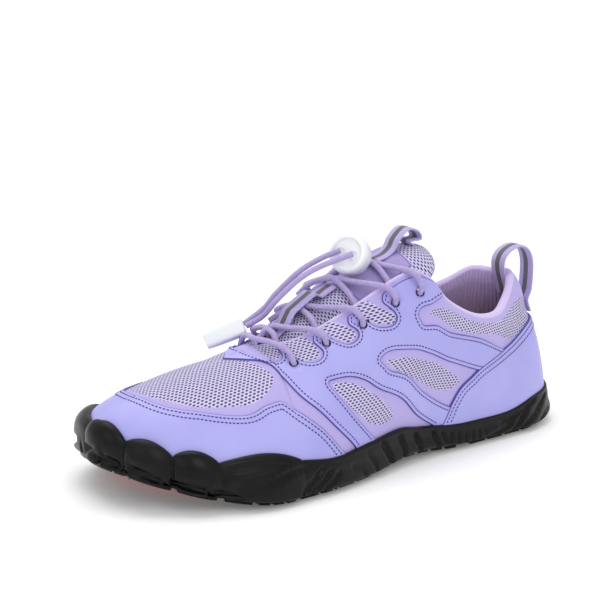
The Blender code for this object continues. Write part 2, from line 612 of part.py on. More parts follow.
def add_outsole(root, rubber, orange):
    a = rand_columns()
    bulge = scallop(a)[0]
    thick = RAND_THICKNESS + bulge - rib(a)
    top = rand_top(a)
    x, y = feather(a)
    ox, oy = outward(a)
    edge = sole_edge(a)
    bottom = np.stack([edge[:, 0], edge[:, 1], ground(edge[:, 0]) + LUG_DEPTH], -1)
    slack = 2.4 * CLEARANCE * np.clip(top / 0.35, 0, 1) ** 2
    out = thick + RAND_GAP + 0.4 * RAND_THICKNESS
    low = np.stack([x + ox * out, y + oy * out, ground(x) + LUG_DEPTH + 0.4 * (SOLE_THICKNESS - LUG_DEPTH)], -1)
    rows = [
        bottom,
        low,
        skin(a, 0.35 * top, RAND_GAP + thick),
        skin(a, 0.80 * top, RAND_GAP + 0.85 * RAND_THICKNESS + 0.7 * bulge - 0.5 * rib(a)),
        skin(a, top, RAND_GAP + RAND_LIP),
        skin(a, top, RAND_GAP),
        skin(a, 0.66 * top, RAND_GAP + slack),
        skin(a, 0.33 * top, RAND_GAP + slack),
    ]
    floor = skin(a, 0.0, RAND_GAP)
    floor[:, 2] = ground(floor[:, 0]) + SOLE_THICKNESS
    rows.append(floor)
    side = ring_net(np.stack(rows, 1))

    plan, triangles, _ = plan_mesh(floor[:, :2], (), spread_points(floor[:, :2], (0.014, 0.020)))
    inside = (np.column_stack([plan, ground(plan[:, 0]) + SOLE_THICKNESS]), triangles)

    size = np.array([FOOT_LENGTH, BALL_WIDTH])
    windows = [smooth_loop(np.array(w) * size, 1) for w in (FOREFOOT_WINDOW, ARCH_WINDOW)]
    lugs = lug_outlines()
    shapes = windows + lugs
    plan, triangles, kinds = plan_mesh(edge, shapes, spread_points(edge, (0.016, 0.022)))
    level = [LUG_DEPTH] + [LUG_DEPTH + INLAY_THICKNESS + CLEARANCE] * len(windows) + [0.0] * len(lugs)
    points, number, faces = [], {}, []

    def corner(k, height):
        if (k, height) not in number:
            number[k, height] = len(points)
            points.append((plan[k][0], plan[k][1], ground(plan[k][0]) + height))
        return number[k, height]

    sides, levels = {}, {}
    for triangle, kind in zip(triangles, kinds):
        faces.append(tuple(corner(k, level[kind]) for k in triangle))
        for i in range(3):
            p, q = triangle[i], triangle[(i + 1) % 3]
            sides.setdefault((min(p, q), max(p, q)), []).append(level[kind])
            levels.setdefault(p, set()).add(level[kind])
    for (p, q), heights in sides.items():
        if len(heights) == 2 and heights[0] != heights[1]:
            low, high = sorted(heights)
            wall = [corner(p, h) for h in sorted(levels[p]) if low <= h <= high]
            wall += [corner(q, h) for h in sorted(levels[q], reverse=True) if low <= h <= high]
            faces.append(tuple(wall))
    solid("outsole", [side, inside, (np.array(points), faces)], rubber, root)

    for name, window in zip(("inlay_forefoot", "inlay_arch"), windows):
        rim = shrink(window, CLEARANCE)
        plan, triangles, _ = plan_mesh(rim, (), spread_points(rim, (0.016, 0.022)))
        count = len(plan)
        low = np.column_stack([plan, ground(plan[:, 0]) + LUG_DEPTH])
        high = low + [0, 0, INLAY_THICKNESS]
        uses = {}
        for t in triangles:
            for i in range(3):
                uses.setdefault((min(t[i], t[(i + 1) % 3]), max(t[i], t[(i + 1) % 3])), []).append(t)
        faces = list(triangles) + [tuple(k + count for k in t) for t in triangles]
        faces += [(p, q, q + count, p + count) for (p, q), used in uses.items() if len(used) == 1]
        solid(name, [(np.concatenate([low, high]), faces)], orange, root)


def add_insole(root, material):
    a = loop_at(np.arange(0, FINE_LENGTH[-1], 0.011))
    rim = skin(a, 0.0, -(UPPER_WALL + 4 * CLEARANCE))[:, :2]
    plan, triangles, _ = plan_mesh(rim, (), spread_points(rim, (0.016, 0.024)))
    count = len(plan)
    low = np.column_stack([plan, ground(plan[:, 0]) + SOLE_THICKNESS + 2.2 * CLEARANCE])
    high = low + [0, 0, INSOLE_THICKNESS]
    uses = {}
    for t in triangles:
        for i in range(3):
            uses.setdefault((min(t[i], t[(i + 1) % 3]), max(t[i], t[(i + 1) % 3])), []).append(t)
    faces = list(triangles) + [tuple(k + count for k in t) for t in triangles]
    faces += [(p, q, q + count, p + count) for (p, q), used in uses.items() if len(used) == 1]
    solid("insole", [(np.concatenate([low, high]), faces)], material, root)


def wall_at(a, v):
    """Thickness of the upper: thin at the sole, padded towards the collar."""
    row = np.where(a <= LAST_ROW, a, LOOP - a)
    collar = np.clip((6.2 - row) / 1.5, 0, 1) * np.clip((v - 0.45) / 0.3, 0, 1) * np.clip((1.02 - v) / 0.12, 0, 1)
    return UPPER_WALL + COLLAR_PADDING * collar


def eyelet(k, lateral):
    a, v, ahead = EYELETS[k]
    return (a, v) if lateral else (LOOP - a - ahead, v)


def eyelet_holes(name, root, eyelets):
    """Round rods through the eyelets, joined in one cutter."""
    parts = []
    for a, v in eyelets:
        centre = surface(np.array([a]), np.array([v]))[0]
        axis = normal(np.array([a]), np.array([v]))[0]
        first = np.cross(axis, [1, 0, 0])
        first /= np.linalg.norm(first)
        second = np.cross(axis, first)
        t = np.arange(8) * math.tau / 8
        circle = EYELET_DIAMETER / 2 * (np.cos(t)[:, None] * first + np.sin(t)[:, None] * second)
        ends = [centre + circle + axis * h for h in (-0.006, 0.006)]
        points = np.concatenate(ends)
        faces = [(k, (k + 1) % 8, (k + 1) % 8 + 8, k + 8) for k in range(8)]
        faces += [tuple(range(8)), tuple(range(8, 16))]
        parts.append((points, faces))
    return cutter(solid(name, parts, None, root))


def add_upper(root, material):
    a = NET_COLUMNS
    outside = surface(a[:, None], np.array(NET_ROWS)[None, :])
    inner_v = np.array([0, 0.25, 0.50, 0.75, 0.92, 1.0])
    inside = skin(a[:, None], inner_v[None, :], -wall_at(a[:, None], inner_v[None, :]))
    edge = np.stack([outside[:, 0], inside[:, 0]], 1)
    parts = [ring_net(outside), ring_net(inside), ring_net(edge)]
    row = np.where(a <= LAST_ROW, a, LOOP - a)
    rim = np.stack([outside[:, -1], inside[:, -1]], 1)
    open_part = [k for k in range(len(a)) if row[k] <= THROAT_ROW]
    first = [k for k in open_part if a[k] > LAST_ROW] + [k for k in open_part if a[k] <= LAST_ROW]
    parts.append(grid(rim[first]))
    upper = solid("upper", parts, material, root)
    return upper


def rand_line(start, end, step, above):
    """Points just over the rand's edge."""
    return [(a, float(rand_top(np.array([a % LOOP]))[0]) + above) for a in np.arange(start, end, step)]


def quarter_outline(lateral):
    low = rand_line(5.30, 8.30, 0.33, 0.018)
    if not lateral:
        low = [(a, float(rand_top(np.array([LOOP - a]))[0]) + 0.022) for a, _ in low]
    front = [tuple(p) for p in smooth_line([low[-1]] + QUARTER_FRONT, 2)[1:]]
    throat = [(a, 0.978) for a in np.arange(9.62, 5.6, -0.33)]
    back = [tuple(p) for p in smooth_line(QUARTER_COLLAR, 2)]
    counter = [(a + 0.14, v) for a, v in COUNTER_EDGE]
    return low + front + throat + back + counter[1:]


def counter_outline():
    edge = [(a, v) for a, v in COUNTER_EDGE]
    top = smooth_line(COUNTER_TOP, 2)
    lateral = [tuple(p) for p in top] + edge[1:]
    medial = [(-a, v) for a, v in lateral[::-1]][:-1]
    return medial + lateral + rand_line(4.9, -4.95, -0.35, 0.020)


def guard_outline():
    top = [tuple(p) for p in smooth_line(GUARD_EDGE, 2)]
    return top + rand_line(20.95, 8.95, -0.19, 0.024)


def add_overlays(root, material):
    inner = OVERLAY_GAP
    outer = inner + OVERLAY_THICKNESS
    panels = []
    for name, lateral in (("quarter_lateral", True), ("quarter_medial", False)):
        outline, holes = quarter_outline(lateral), WINDOWS
        if not lateral:
            outline, holes = mirrored(outline), [mirrored(h) for h in holes]
        panels.append(sheet_on_last(name, outline, holes, inner, outer, material, root))
    sheet_on_last("heel_counter", counter_outline(), [], inner, outer, material, root)
    sheet_on_last("toe_guard", guard_outline(), [], inner, outer, material, root)
    return panels


def tongue_rows(x):
    """The tongue's table read at x: height, half width, drop, thickness, middle."""
    at = np.linspace(0, len(TONGUE_ROWS) - 1, 200)
    xs = through(column(TONGUE_ROWS, 0), at)[::-1] * FOOT_LENGTH
    sizes = (INSTEP_HEIGHT, BALL_WIDTH, INSTEP_HEIGHT, TONGUE_THICKNESS, BALL_WIDTH)
    return [np.interp(x, xs, through(column(TONGUE_ROWS, k + 1), at)[::-1] * size) for k, size in enumerate(sizes)]


def lining_samples():
    a = np.concatenate([np.arange(5.4, 11.2, 0.06), LOOP - np.arange(5.4, 11.2, 0.06)])
    v = np.linspace(0.62, 1, 28)
    return skin(a[:, None], v[None, :], -wall_at(a[:, None], v[None, :])).reshape(-1, 3)


LINING = lining_samples()


def tongue_top(x, y):
    """Height of the tongue's upper face. It stays under the lining where the upper covers it."""
    x, y = np.broadcast_arrays(np.asarray(x, float), np.asarray(y, float))
    z, half, drop, _, middle = tongue_rows(x)
    top = z - drop * np.abs((y - middle) / half) ** 2.2
    reach = 0.036 * BALL_WIDTH
    cap = np.full(x.shape, np.inf)
    for k in np.ndindex(x.shape):
        near = LINING[np.hypot(LINING[:, 0] - x[k], LINING[:, 1] - y[k]) < reach]
        if len(near):
            cap[k] = near[:, 2].min() - 3 * CLEARANCE
    return np.minimum(top, cap)


def tongue_middle(x):
    return tongue_rows(x)[4]


def add_tongue(root, material):
    at = np.linspace(0, len(TONGUE_ROWS) - 1, 17)
    x = through(column(TONGUE_ROWS, 0), at) * FOOT_LENGTH
    _, half, _, thick, middle = tongue_rows(x)
    across = np.linspace(-1, 1, 11)
    px = np.repeat(x[:, None], 11, 1)
    py = middle[:, None] + half[:, None] * across
    top = np.stack([px, py, tongue_top(px, py)], -1)
    n = np.cross(np.gradient(top, axis=0), np.gradient(top, axis=1))
    n /= np.linalg.norm(n, axis=-1, keepdims=True)
    n *= np.sign(n[..., 2:3])
    bottom = top - n * thick[:, None, None]
    rings = np.concatenate([top, bottom[:, ::-1]], 1)
    body = grid(np.concatenate([rings, rings[:, :1]], 1))
    caps = [(rings[k], [tuple(range(22))]) for k in (0, -1)]
    return solid("tongue", [body] + caps, material, root)


def ribbon(name, path, width, thickness, material, root, y=0.0):
    """A flat tape along a path in the XZ plane. The path is the middle of its thickness."""
    path = np.asarray(path, float)
    path = np.stack([path[:, 0], np.broadcast_to(y, len(path)), path[:, 1]], -1)
    along = np.gradient(path, axis=0)
    side = np.stack([-along[:, 2], 0 * along[:, 0], along[:, 0]], -1)
    side /= np.linalg.norm(side, axis=1, keepdims=True)
    half = side * thickness / 2
    across = np.array([0, width / 2, 0])
    rings = np.stack([path + half + across, path + half - across, path - half - across, path - half + across], 1)
    body = grid(np.concatenate([rings, rings[:, :1]], 1))
    caps = [(rings[k], [(0, 1, 2, 3)]) for k in (0, -1)]
    return solid(name, [body] + caps, material, root)


def even(path, step):
    """The same curve with points at even distances."""
    path = np.asarray(path, float)
    length = np.concatenate([[0], np.cumsum(np.linalg.norm(np.diff(path, axis=0), axis=1))])
    at = np.linspace(0, length[-1], max(3, int(round(length[-1] / step)) + 1))
    return np.stack([np.interp(at, length, path[:, k]) for k in range(path.shape[1])], -1)


def tube(path, radius, sides=8):
    """Nets of a closed round tube."""
    path = np.asarray(path, float)
    along = np.gradient(path, axis=0)
    along /= np.linalg.norm(along, axis=1, keepdims=True)
    side = np.cross(along, [0, 0, 1.0])
    side /= np.linalg.norm(side, axis=1, keepdims=True)
    lift = np.cross(side, along)
    t = np.arange(sides) * math.tau / sides
    rings = path[:, None] + radius * (np.cos(t)[None, :, None] * side[:, None]
                                      + np.sin(t)[None, :, None] * lift[:, None])
    body = grid(np.concatenate([rings, rings[:, :1]], 1))
    caps = [(rings[k], [tuple(range(sides))]) for k in (0, -1)]
    return [body] + caps


def cord(name, points, material, root):
    """A free stretch of lace."""
    path = even(smooth_line(points, 12), 2.6 * LACE_DIAMETER)
    curve = bpy.data.curves.new(name, "CURVE")
    curve.dimensions = "3D"
    curve.bevel_depth = LACE_DIAMETER / 2
    curve.bevel_resolution = 2
    curve.use_fill_caps = True
    spline = curve.splines.new("POLY")
    spline.points.add(len(path) - 1)
    for point, at in zip(spline.points, path):
        point.co = (*at, 1)
    curve.materials.append(material)
    obj = bpy.data.objects.new(name, curve)
    obj.parent = root
    bpy.context.scene.collection.objects.link(obj)
    return obj


def tape_path(x):
    """Middle of the tape on the tongue. It rises over the second crossing as a keeper."""
    keeper = 0.571 * FOOT_LENGTH
    rise = LACE_DIAMETER + 4.5 * CLEARANCE
    hump = rise * np.clip(1.7 * np.cos(np.clip((x - keeper) / (0.040 * FOOT_LENGTH), -1, 1) * math.pi / 2), 0, 1)
    return tongue_top(x, tongue_middle(x)) + 2.2 * CLEARANCE + TAPE_THICKNESS / 2 + hump


def add_tapes(root, material):
    x = np.linspace(0.638, 0.500, 18) * FOOT_LENGTH
    ribbon("tongue_webbing", np.stack([x, tape_path(x)], -1), TAPE_WIDTH, TAPE_THICKNESS, material, root,
           tongue_middle(x))
    x0, x1 = 0.386 * FOOT_LENGTH, 0.330 * FOOT_LENGTH
    lift = TAPE_THICKNESS / 2 + 1.6 * CLEARANCE
    low, back = tongue_top(x0, 0.0) + lift, tongue_top(x1, 0.0) + lift
    loop = [(x0 + 0.006, tongue_top(x0 + 0.006, 0.0) + lift), (x0, low), (x0 - 0.0042, low + 0.0030),
            (x0 - 0.0070, low + 0.75 * TONGUE_LOOP_RISE),
            (x0 - 0.0125, low + 1.15 * TONGUE_LOOP_RISE), (x0 - 0.0185, low + TONGUE_LOOP_RISE),
            (x0 - 0.0205, low + 0.6 * TONGUE_LOOP_RISE), (x1 + 0.0005, back + 0.0024), (x1 - 0.002, back)]
    ribbon("tongue_pull_loop", smooth_line(loop, 3), TAPE_WIDTH, TAPE_THICKNESS, material, root)
    # heel loop: from the lining over the collar to the outside of the counter
    thick = TAPE_THICKNESS / 2 + 4 * CLEARANCE
    collar = surface(np.array([0.0]), np.array([1.0]))[0]
    outer = [skin(np.array([0.0]), np.array([v]), thick + (OVERLAY_THICKNESS + CLEARANCE if v < 0.66 else 0))[0]
             for v in (0.60, 0.70, 0.80)]
    inner = [skin(np.array([0.0]), np.array([v]), -thick - 0.30 * TAPE_WIDTH - float(wall_at(np.array([0.0]), np.array([v]))[0]))[0]
             for v in (0.93, 0.84)]
    top = collar[2] + HEEL_LOOP_RISE
    loop = [(p[0], p[2]) for p in outer[:2]]
    loop += [(outer[2][0] - 0.0042, outer[2][2]), (collar[0] - 0.0112, collar[2] + 0.3 * HEEL_LOOP_RISE),
             (collar[0] - 0.0075, top - 0.0018), (collar[0] - 0.0010, top),
             (collar[0] + 0.0062, top - 0.0030), (collar[0] + 0.0086, collar[2] + 0.3 * HEEL_LOOP_RISE)]
    loop += [(p[0], p[2]) for p in inner]
    ribbon("heel_pull_loop", smooth_line(loop, 3), TAPE_WIDTH, TAPE_THICKNESS, material, root)


def on_eyestay(a, v):
    """Middle of a lace that lies on the eyestay."""
    lift = OVERLAY_GAP + OVERLAY_THICKNESS + 2.0 * CLEARANCE + LACE_DIAMETER / 2
    return skin(np.array([a]), np.array([v]), lift)[0]


def on_tongue(x, y, over_tape):
    extra = TAPE_THICKNESS + 2.2 * CLEARANCE if over_tape and abs(y - tongue_middle(x)) < 0.009 else 0.0
    step = 0.7 * LACE_DIAMETER
    near = [[x + dx, y + dy] for dx in (-step, 0, step) for dy in (-step, 0, step)]
    top = tongue_top(*np.array(near).T).max()
    return np.array([x, y, top + extra + 1.8 * CLEARANCE + LACE_DIAMETER / 2])


def along(a, v, lateral, step):
    """A place on the same side, a step towards the toe."""
    return (a + step, v) if lateral else (a - step, v)


def crossing_path(k, lateral, over_tape):
    """One strand: from an eyelet over the throat's edge, across the tongue and under the other edge."""
    start = on_eyestay(*eyelet(k, lateral))
    edge = on_eyestay(*along(eyelet(k, lateral)[0], 0.985, lateral, 0.12))
    far = surface(*(np.array([p]) for p in along(eyelet(k + 1, not lateral)[0], 1.0, not lateral, -0.12)))[0]
    middle = tongue_middle(far[0])
    end_y = far[1] + (middle - far[1]) / abs(middle - far[1]) * (LACE_DIAMETER / 2 + 0.0016)
    centre_x = 0.5 * (edge[0] + far[0])
    end = on_tongue(far[0], end_y, False)
    centre = on_tongue(centre_x, tongue_middle(centre_x), over_tape)
    quarter_x, quarter_y = 0.45 * edge[0] + 0.55 * centre_x, 0.45 * edge[1] + 0.55 * centre[1]
    near = on_tongue(quarter_x, quarter_y, over_tape)
    near[2] = max(near[2], 0.35 * edge[2] + 0.65 * centre[2])
    beyond = on_tongue(0.4 * centre_x + 0.6 * far[0], 0.4 * centre[1] + 0.6 * end_y, over_tape)
    beyond[2] = max(beyond[2], 0.4 * centre[2] + 0.6 * end[2])
    return [start, edge, near, centre, beyond, end]


def joined(name, paths, material, root):
    """Tubes that cross, as one body."""
    radius, sides = LACE_DIAMETER / 2, 6
    first = solid(name, tube(even(smooth_line(paths[0], 6), 2 * LACE_DIAMETER), radius, sides), material, root)
    for k, path in enumerate(paths[1:]):
        other = solid(f"{name}_strand_{k + 2}", tube(even(smooth_line(path, 6), 2 * LACE_DIAMETER), radius, sides),
                      None, root)
        boolean(first, cutter(other), "UNION")
    return first


LOCK_CENTRE = (0.461, -0.010, 1.062)     # share of length, ball width, instep height
LOCK_AXIS = (0.80, 0.45, 0.40)
CLIP_ENDS = [(0.642, -0.234, 0.700), (0.695, -0.292, 0.640)]
FREE_ENDS = [
    [(0.540, 0.010, 1.029), (0.579, -0.021, 0.968), (0.612, -0.073, 0.863), (0.622, -0.146, 0.766)],
    [(0.518, -0.036, 1.063), (0.563, -0.063, 1.001), (0.601, -0.115, 0.886), (0.614, -0.167, 0.799)],
]


def lock_frame():
    centre = np.array(LOCK_CENTRE) * [FOOT_LENGTH, BALL_WIDTH, INSTEP_HEIGHT]
    axis = np.array(LOCK_AXIS) / np.linalg.norm(LOCK_AXIS)
    side = np.array([-0.66, 0.70, -0.27])
    side -= axis * (side @ axis)
    side /= np.linalg.norm(side)
    return centre, axis, side, np.cross(axis, side)


def add_laces(root, lace, hard):
    ends = [[on_eyestay(*eyelet(4, s)), on_eyestay(*along(eyelet(4, s)[0], 0.93, s, 0.22))] for s in (True, False)]
    base = surface(np.array([float(THROAT_ROW)]), np.array([1.0]))[0]
    middle = base + [0.001, 0, 3.6 * CLEARANCE + TAPE_THICKNESS + LACE_DIAMETER / 2]
    bar = [ends[0][0], ends[0][1], middle, ends[1][1], ends[1][0]]
    solid("lace_bar", tube(even(smooth_line(bar, 6), 2 * LACE_DIAMETER), LACE_DIAMETER / 2), lace, root)
    for number, k, over_tape in ((1, 3, True), (2, 2, False), (3, 1, True)):
        joined(f"lace_crossing_{number}", [crossing_path(k, s, over_tape) for s in (True, False)], lace, root)

    # the top crossing: from under both edges and from both upper eyelets to the underside of the lock
    centre, axis, side, up = lock_frame()
    low = [(p[0], p[1], p[2]) for p in (crossing_path(0, s, False)[-1] for s in (True, False))]
    meet_x = centre[0] - 0.0105
    meet = on_tongue(meet_x, tongue_middle(meet_x), False)
    top = []
    for s in (True, False):
        start, edge = on_eyestay(*eyelet(0, s)), on_eyestay(*along(eyelet(0, s)[0], 0.985, s, 0.2))
        near = on_tongue(0.45 * edge[0] + 0.55 * meet[0], 0.45 * edge[1] + 0.55 * meet[1], False)
        near[2] = max(near[2], 0.45 * edge[2] + 0.55 * meet[2])
        top.append([start, edge, near, meet])
    under = [on_tongue(*(0.5 * (np.array(p[:2]) + meet[:2])), False) for p in low]
    joined("lace_crossing_4", [[low[0], under[0], meet, under[1], low[1]], top[0][:3] + [meet] + top[1][2::-1]],
           lace, root)

    # the lock: a thick round disc with softened rims and two holes in its face
    t = np.arange(20) * math.tau / 20
    half, depth = LOCK_DIAMETER / 2, LOCK_DEPTH / 2
    profile = [(0.62, -1.0), (0.88, -0.80), (1.0, -0.35), (1.0, 0.35), (0.88, 0.80), (0.74, 1.0), (0.60, 0.86)]
    rings = np.stack([[centre + axis * depth * h + half * r * (math.cos(k) * side + math.sin(k) * up) for r, h in profile]
                      for k in t])
    body = ring_net(rings)
    caps = [(rings[:, k], [tuple(range(20))]) for k in (0, -1)]
    solid("cord_lock", [body] + caps, hard, root)

    # the clip on the lace ends
    ends = [np.array(p) * [FOOT_LENGTH, BALL_WIDTH, INSTEP_HEIGHT] for p in CLIP_ENDS]
    direction = ends[1] - ends[0]
    direction /= np.linalg.norm(direction)
    flat = np.cross([0, 0, 1.0], direction)
    flat /= np.linalg.norm(flat)
    lift = np.cross(direction, flat)
    stations = [(0.0, 0.80, 0.75), (0.10, 1.0, 1.0), (0.60, 0.96, 0.95), (0.92, 0.72, 0.66), (1.0, 0.50, 0.45)]
    corner = [(1, -0.5), (1, 0.5), (0.62, 1), (-0.62, 1), (-1, 0.5), (-1, -0.5), (-0.62, -1), (0.62, -1)]
    rings = np.stack([[ends[0] + direction * CLIP_LENGTH * s + flat * p * w * CLIP_WIDTH / 2 + lift * q * h * CLIP_THICKNESS / 2
                       for p, q in corner] for s, w, h in stations])
    body = grid(np.concatenate([rings, rings[:, :1]], 1))
    caps = [(rings[k], [tuple(range(8))]) for k in (0, -1)]
    solid("lace_clip", [body] + caps, hard, root)

    # the two free ends, from the lock's face to the clip
    face = centre + axis * (depth * 0.86 + 4.5 * CLEARANCE)
    gate = ends[0] - direction * 3 * CLEARANCE
    share = np.array([FOOT_LENGTH, BALL_WIDTH, INSTEP_HEIGHT])
    for name, hole, sign, middle in (("lace_end_lateral", 0.0033, 1, FREE_ENDS[0]),
                                     ("lace_end_medial", -0.0033, -1, FREE_ENDS[1])):
        first = face + side * hole
        last = gate + flat * sign * 0.0021
        cord(name, [first] + [share * p for p in middle] + [last], lace, root)


def main():
    for obj in list(bpy.data.objects):
        bpy.data.objects.remove(obj, do_unlink=True)
    rubber = principled("black rubber", (0.018, 0.018, 0.020), 0.55)
    orange = principled("orange rubber", (1.0, 0.055, 0.020), 0.45)
    mesh = principled("lilac mesh", (0.55, 0.50, 0.78), 0.85)
    smooth = principled("smooth lilac", (0.48, 0.46, 0.92), 0.45)
    foam = principled("footbed", (0.20, 0.16, 0.28), 0.9)
    tongue = principled("tongue lilac", (0.50, 0.44, 0.74), 0.8)
    tape = principled("striped tape", (0.50, 0.42, 0.75), 0.8)
    lace = principled("lace", (0.47, 0.40, 0.70), 0.7)
    hard = principled("white plastic", (0.90, 0.92, 0.93), 0.25)

    edge = sole_edge(np.linspace(0, LOOP, 600))
    root = shoe_root(((edge[:, 0].min() + edge[:, 0].max()) / 2, (edge[:, 1].min() + edge[:, 1].max()) / 2))
    add_outsole(root, rubber, orange)
    add_insole(root, foam)
    upper = add_upper(root, mesh)
    quarters = add_overlays(root, smooth)
    for side, pieces in ((True, (upper, quarters[0])), (False, (upper, quarters[1]))):
        holes = eyelet_holes("eyelets_lateral" if side else "eyelets_medial", root,
                             [eyelet(k, side) for k in range(len(EYELETS))])
        for piece in pieces:
            boolean(piece, holes, "DIFFERENCE")
    add_tongue(root, tongue)
    add_tapes(root, tape)
    add_laces(root, lace, hard)


main()
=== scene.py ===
import math
import bpy
import bmesh
import numpy as np
from mathutils import Matrix, Vector
from mathutils.geometry import delaunay_2d_cdt


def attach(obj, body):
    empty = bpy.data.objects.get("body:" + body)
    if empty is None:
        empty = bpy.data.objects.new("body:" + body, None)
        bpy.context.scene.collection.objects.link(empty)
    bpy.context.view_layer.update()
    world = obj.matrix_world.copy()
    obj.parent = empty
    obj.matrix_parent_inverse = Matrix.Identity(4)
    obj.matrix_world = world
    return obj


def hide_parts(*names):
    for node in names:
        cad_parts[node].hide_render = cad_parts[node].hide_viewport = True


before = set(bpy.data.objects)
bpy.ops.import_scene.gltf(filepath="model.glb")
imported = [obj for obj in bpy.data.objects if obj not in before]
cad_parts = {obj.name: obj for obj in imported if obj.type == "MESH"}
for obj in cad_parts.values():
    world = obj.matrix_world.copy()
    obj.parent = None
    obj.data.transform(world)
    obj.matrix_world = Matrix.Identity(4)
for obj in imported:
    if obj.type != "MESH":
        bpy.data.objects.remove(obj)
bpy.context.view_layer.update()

# Sizes of the shoe in metres. They are those of the solids
last = {
    "length": 0.257, "ball": 0.096, "heelHeight": 0.0735, "instepHeight": 0.0895,
    "wall": 0.0022, "padding": 0.0016, "clearance": 0.0003,
}
sole = {
    "thickness": 0.0065, "lugDepth": 0.002, "toeSpring": 0.0155, "archRise": 0.0025, "heelBevel": 0.005,
    "inlay": 0.0012, "rand": 0.0027, "lip": 0.0011, "gap": 0.0005,
}
overlay = {"thickness": 0.0009, "gap": 0.0007}
tongue = {"thickness": 0.003}
tape = {"width": 0.0095, "thickness": 0.0012, "heelRise": 0.013, "tongueRise": 0.010}
lace = {"diameter": 0.0028, "eyelet": 0.0044}
lock = {"diameter": 0.020, "depth": 0.0105, "cords": 0.0033}     # cords: each one's way from the middle
clip = {"length": 0.020, "width": 0.0092, "thickness": 0.0060, "roll": -52, "cords": 0.0021}
footRows = [
    # at,    lateral, medial, lean,   wall,  crown, drop
    (0.004,  0.000,  0.000, -0.004, 0.235, 0.088, 0.173),
    (0.030,  0.204,  0.190,  0.000, 0.235, 0.078, 0.165),
    (0.095,  0.305,  0.295,  0.000, 0.220, 0.055, 0.170),
    (0.170,  0.325,  0.313,  0.020, 0.200, 0.050, 0.150),
    (0.255,  0.337,  0.310,  0.030, 0.210, 0.050, 0.150),
    (0.340,  0.341,  0.292,  0.030, 0.240, 0.060, 0.180),
    (0.410,  0.358,  0.285,  0.030, 0.245, 0.080, 0.190),
    (0.470,  0.388,  0.298,  0.030, 0.240, 0.110, 0.190),
    (0.550,  0.437,  0.350,  0.030, 0.220, 0.150, 0.160),
    (0.635,  0.482,  0.430,  0.030, 0.200, 0.190, 0.090),
    (0.710,  0.496,  0.488,  0.030, 0.180, 0.240, 0.000),
    (0.790,  0.487,  0.505,  0.030, 0.170, 0.260, 0.000),
    (0.870,  0.399,  0.500,  0.030, 0.160, 0.240, 0.000),
    (0.935,  0.269,  0.420,  0.030, 0.155, 0.200, 0.000),
    (0.980,  0.118,  0.270,  0.030, 0.150, 0.170, 0.000),
    (1.000, -0.063,  0.063,  0.030, 0.150, 0.150, 0.000),
]
collarRows = [
    # instep, lateral x, y, z,          medial x, y, z
    (0.0,     0.056, 0.000, 1.000,      0.056, 0.000, 1.000),
    (0.0,     0.078, 0.083, 0.973,      0.068, 0.083, 0.993),
    (0.0,     0.113, 0.146, 0.857,      0.099, 0.188, 0.993),
    (0.0,     0.163, 0.219, 0.803,      0.148, 0.266, 0.898),
    (0.0,     0.241, 0.286, 0.850,      0.226, 0.302, 0.837),
    (1.0,     0.319, 0.312, 0.816,      0.311, 0.312, 0.804),
    (1.0,     0.362, 0.296, 0.958,      0.362, 0.292, 0.955),
    (1.0,     0.405, 0.240, 0.990,      0.405, 0.240, 0.980),
    (1.0,     0.514, 0.198, 0.844,      0.514, 0.198, 0.808),
    (1.0,     0.623, 0.156, 0.718,      0.623, 0.150, 0.672),
    (1.0,     0.677, 0.000, 0.660,      0.677, 0.000, 0.660),
]
ridgeRows = [(0.677, 0.660), (0.750, 0.617), (0.812, 0.588), (0.862, 0.562), (0.898, 0.541), (0.926, 0.513)]
randRows = [
    (0.130, 0.130), (0.130, 0.130), (0.155, 0.150), (0.105, 0.120), (0.100, 0.120), (0.090, 0.130),
    (0.100, 0.150), (0.140, 0.170), (0.160, 0.170), (0.150, 0.160), (0.185, 0.180), (0.230, 0.200),
    (0.205, 0.220), (0.200, 0.270), (0.240, 0.300), (0.340, 0.340),
]
scallops = [
    # start, end,   out,   rise
    (10.10, 11.93, 0.014, 0.050),
    (11.93, 12.90, 0.030, 0.085),
    (12.90, 14.06, 0.034, 0.100),
    (14.06, 15.36, 0.034, 0.130),
    (15.36, 18.30, 0.030, 0.090),
]
tongueTable = [
    # x,     z,     half,  drop,  thick, middle
    (0.724, 0.565, 0.120, 0.022, 0.6, -0.015),
    (0.677, 0.605, 0.156, 0.055, 0.8, -0.020),
    (0.623, 0.700, 0.185, 0.115, 0.9, -0.030),
    (0.568, 0.790, 0.205, 0.140, 1.0, -0.035),
    (0.514, 0.872, 0.225, 0.150, 1.0, -0.035),
    (0.459, 0.935, 0.240, 0.140, 1.0, -0.028),
    (0.409, 0.995, 0.245, 0.125, 1.1, -0.015),
    (0.370, 1.022, 0.245, 0.085, 1.4, -0.008),
    (0.331, 1.046, 0.230, 0.060, 1.8,  0.000),
    (0.302, 1.040, 0.190, 0.040, 1.6,  0.000),
]
eyelets = [(6.68, 0.85, 0.20), (7.36, 0.85, 0.30), (7.98, 0.85, 0.34), (8.68, 0.86, 0.28), (9.52, 0.77, 0.10)]
forefootWindow = [
    (0.722, 0.330), (0.712, 0.245), (0.757, 0.170), (0.795, 0.098), (0.826, 0.010), (0.850, -0.085),
    (0.866, -0.195), (0.876, -0.300), (0.884, -0.400), (0.905, -0.340), (0.922, -0.225), (0.905, -0.150),
    (0.888, -0.125), (0.903, -0.045), (0.886, 0.030), (0.870, 0.060), (0.876, 0.100), (0.852, 0.175), (0.832, 0.205),
    (0.836, 0.230), (0.803, 0.305),
]
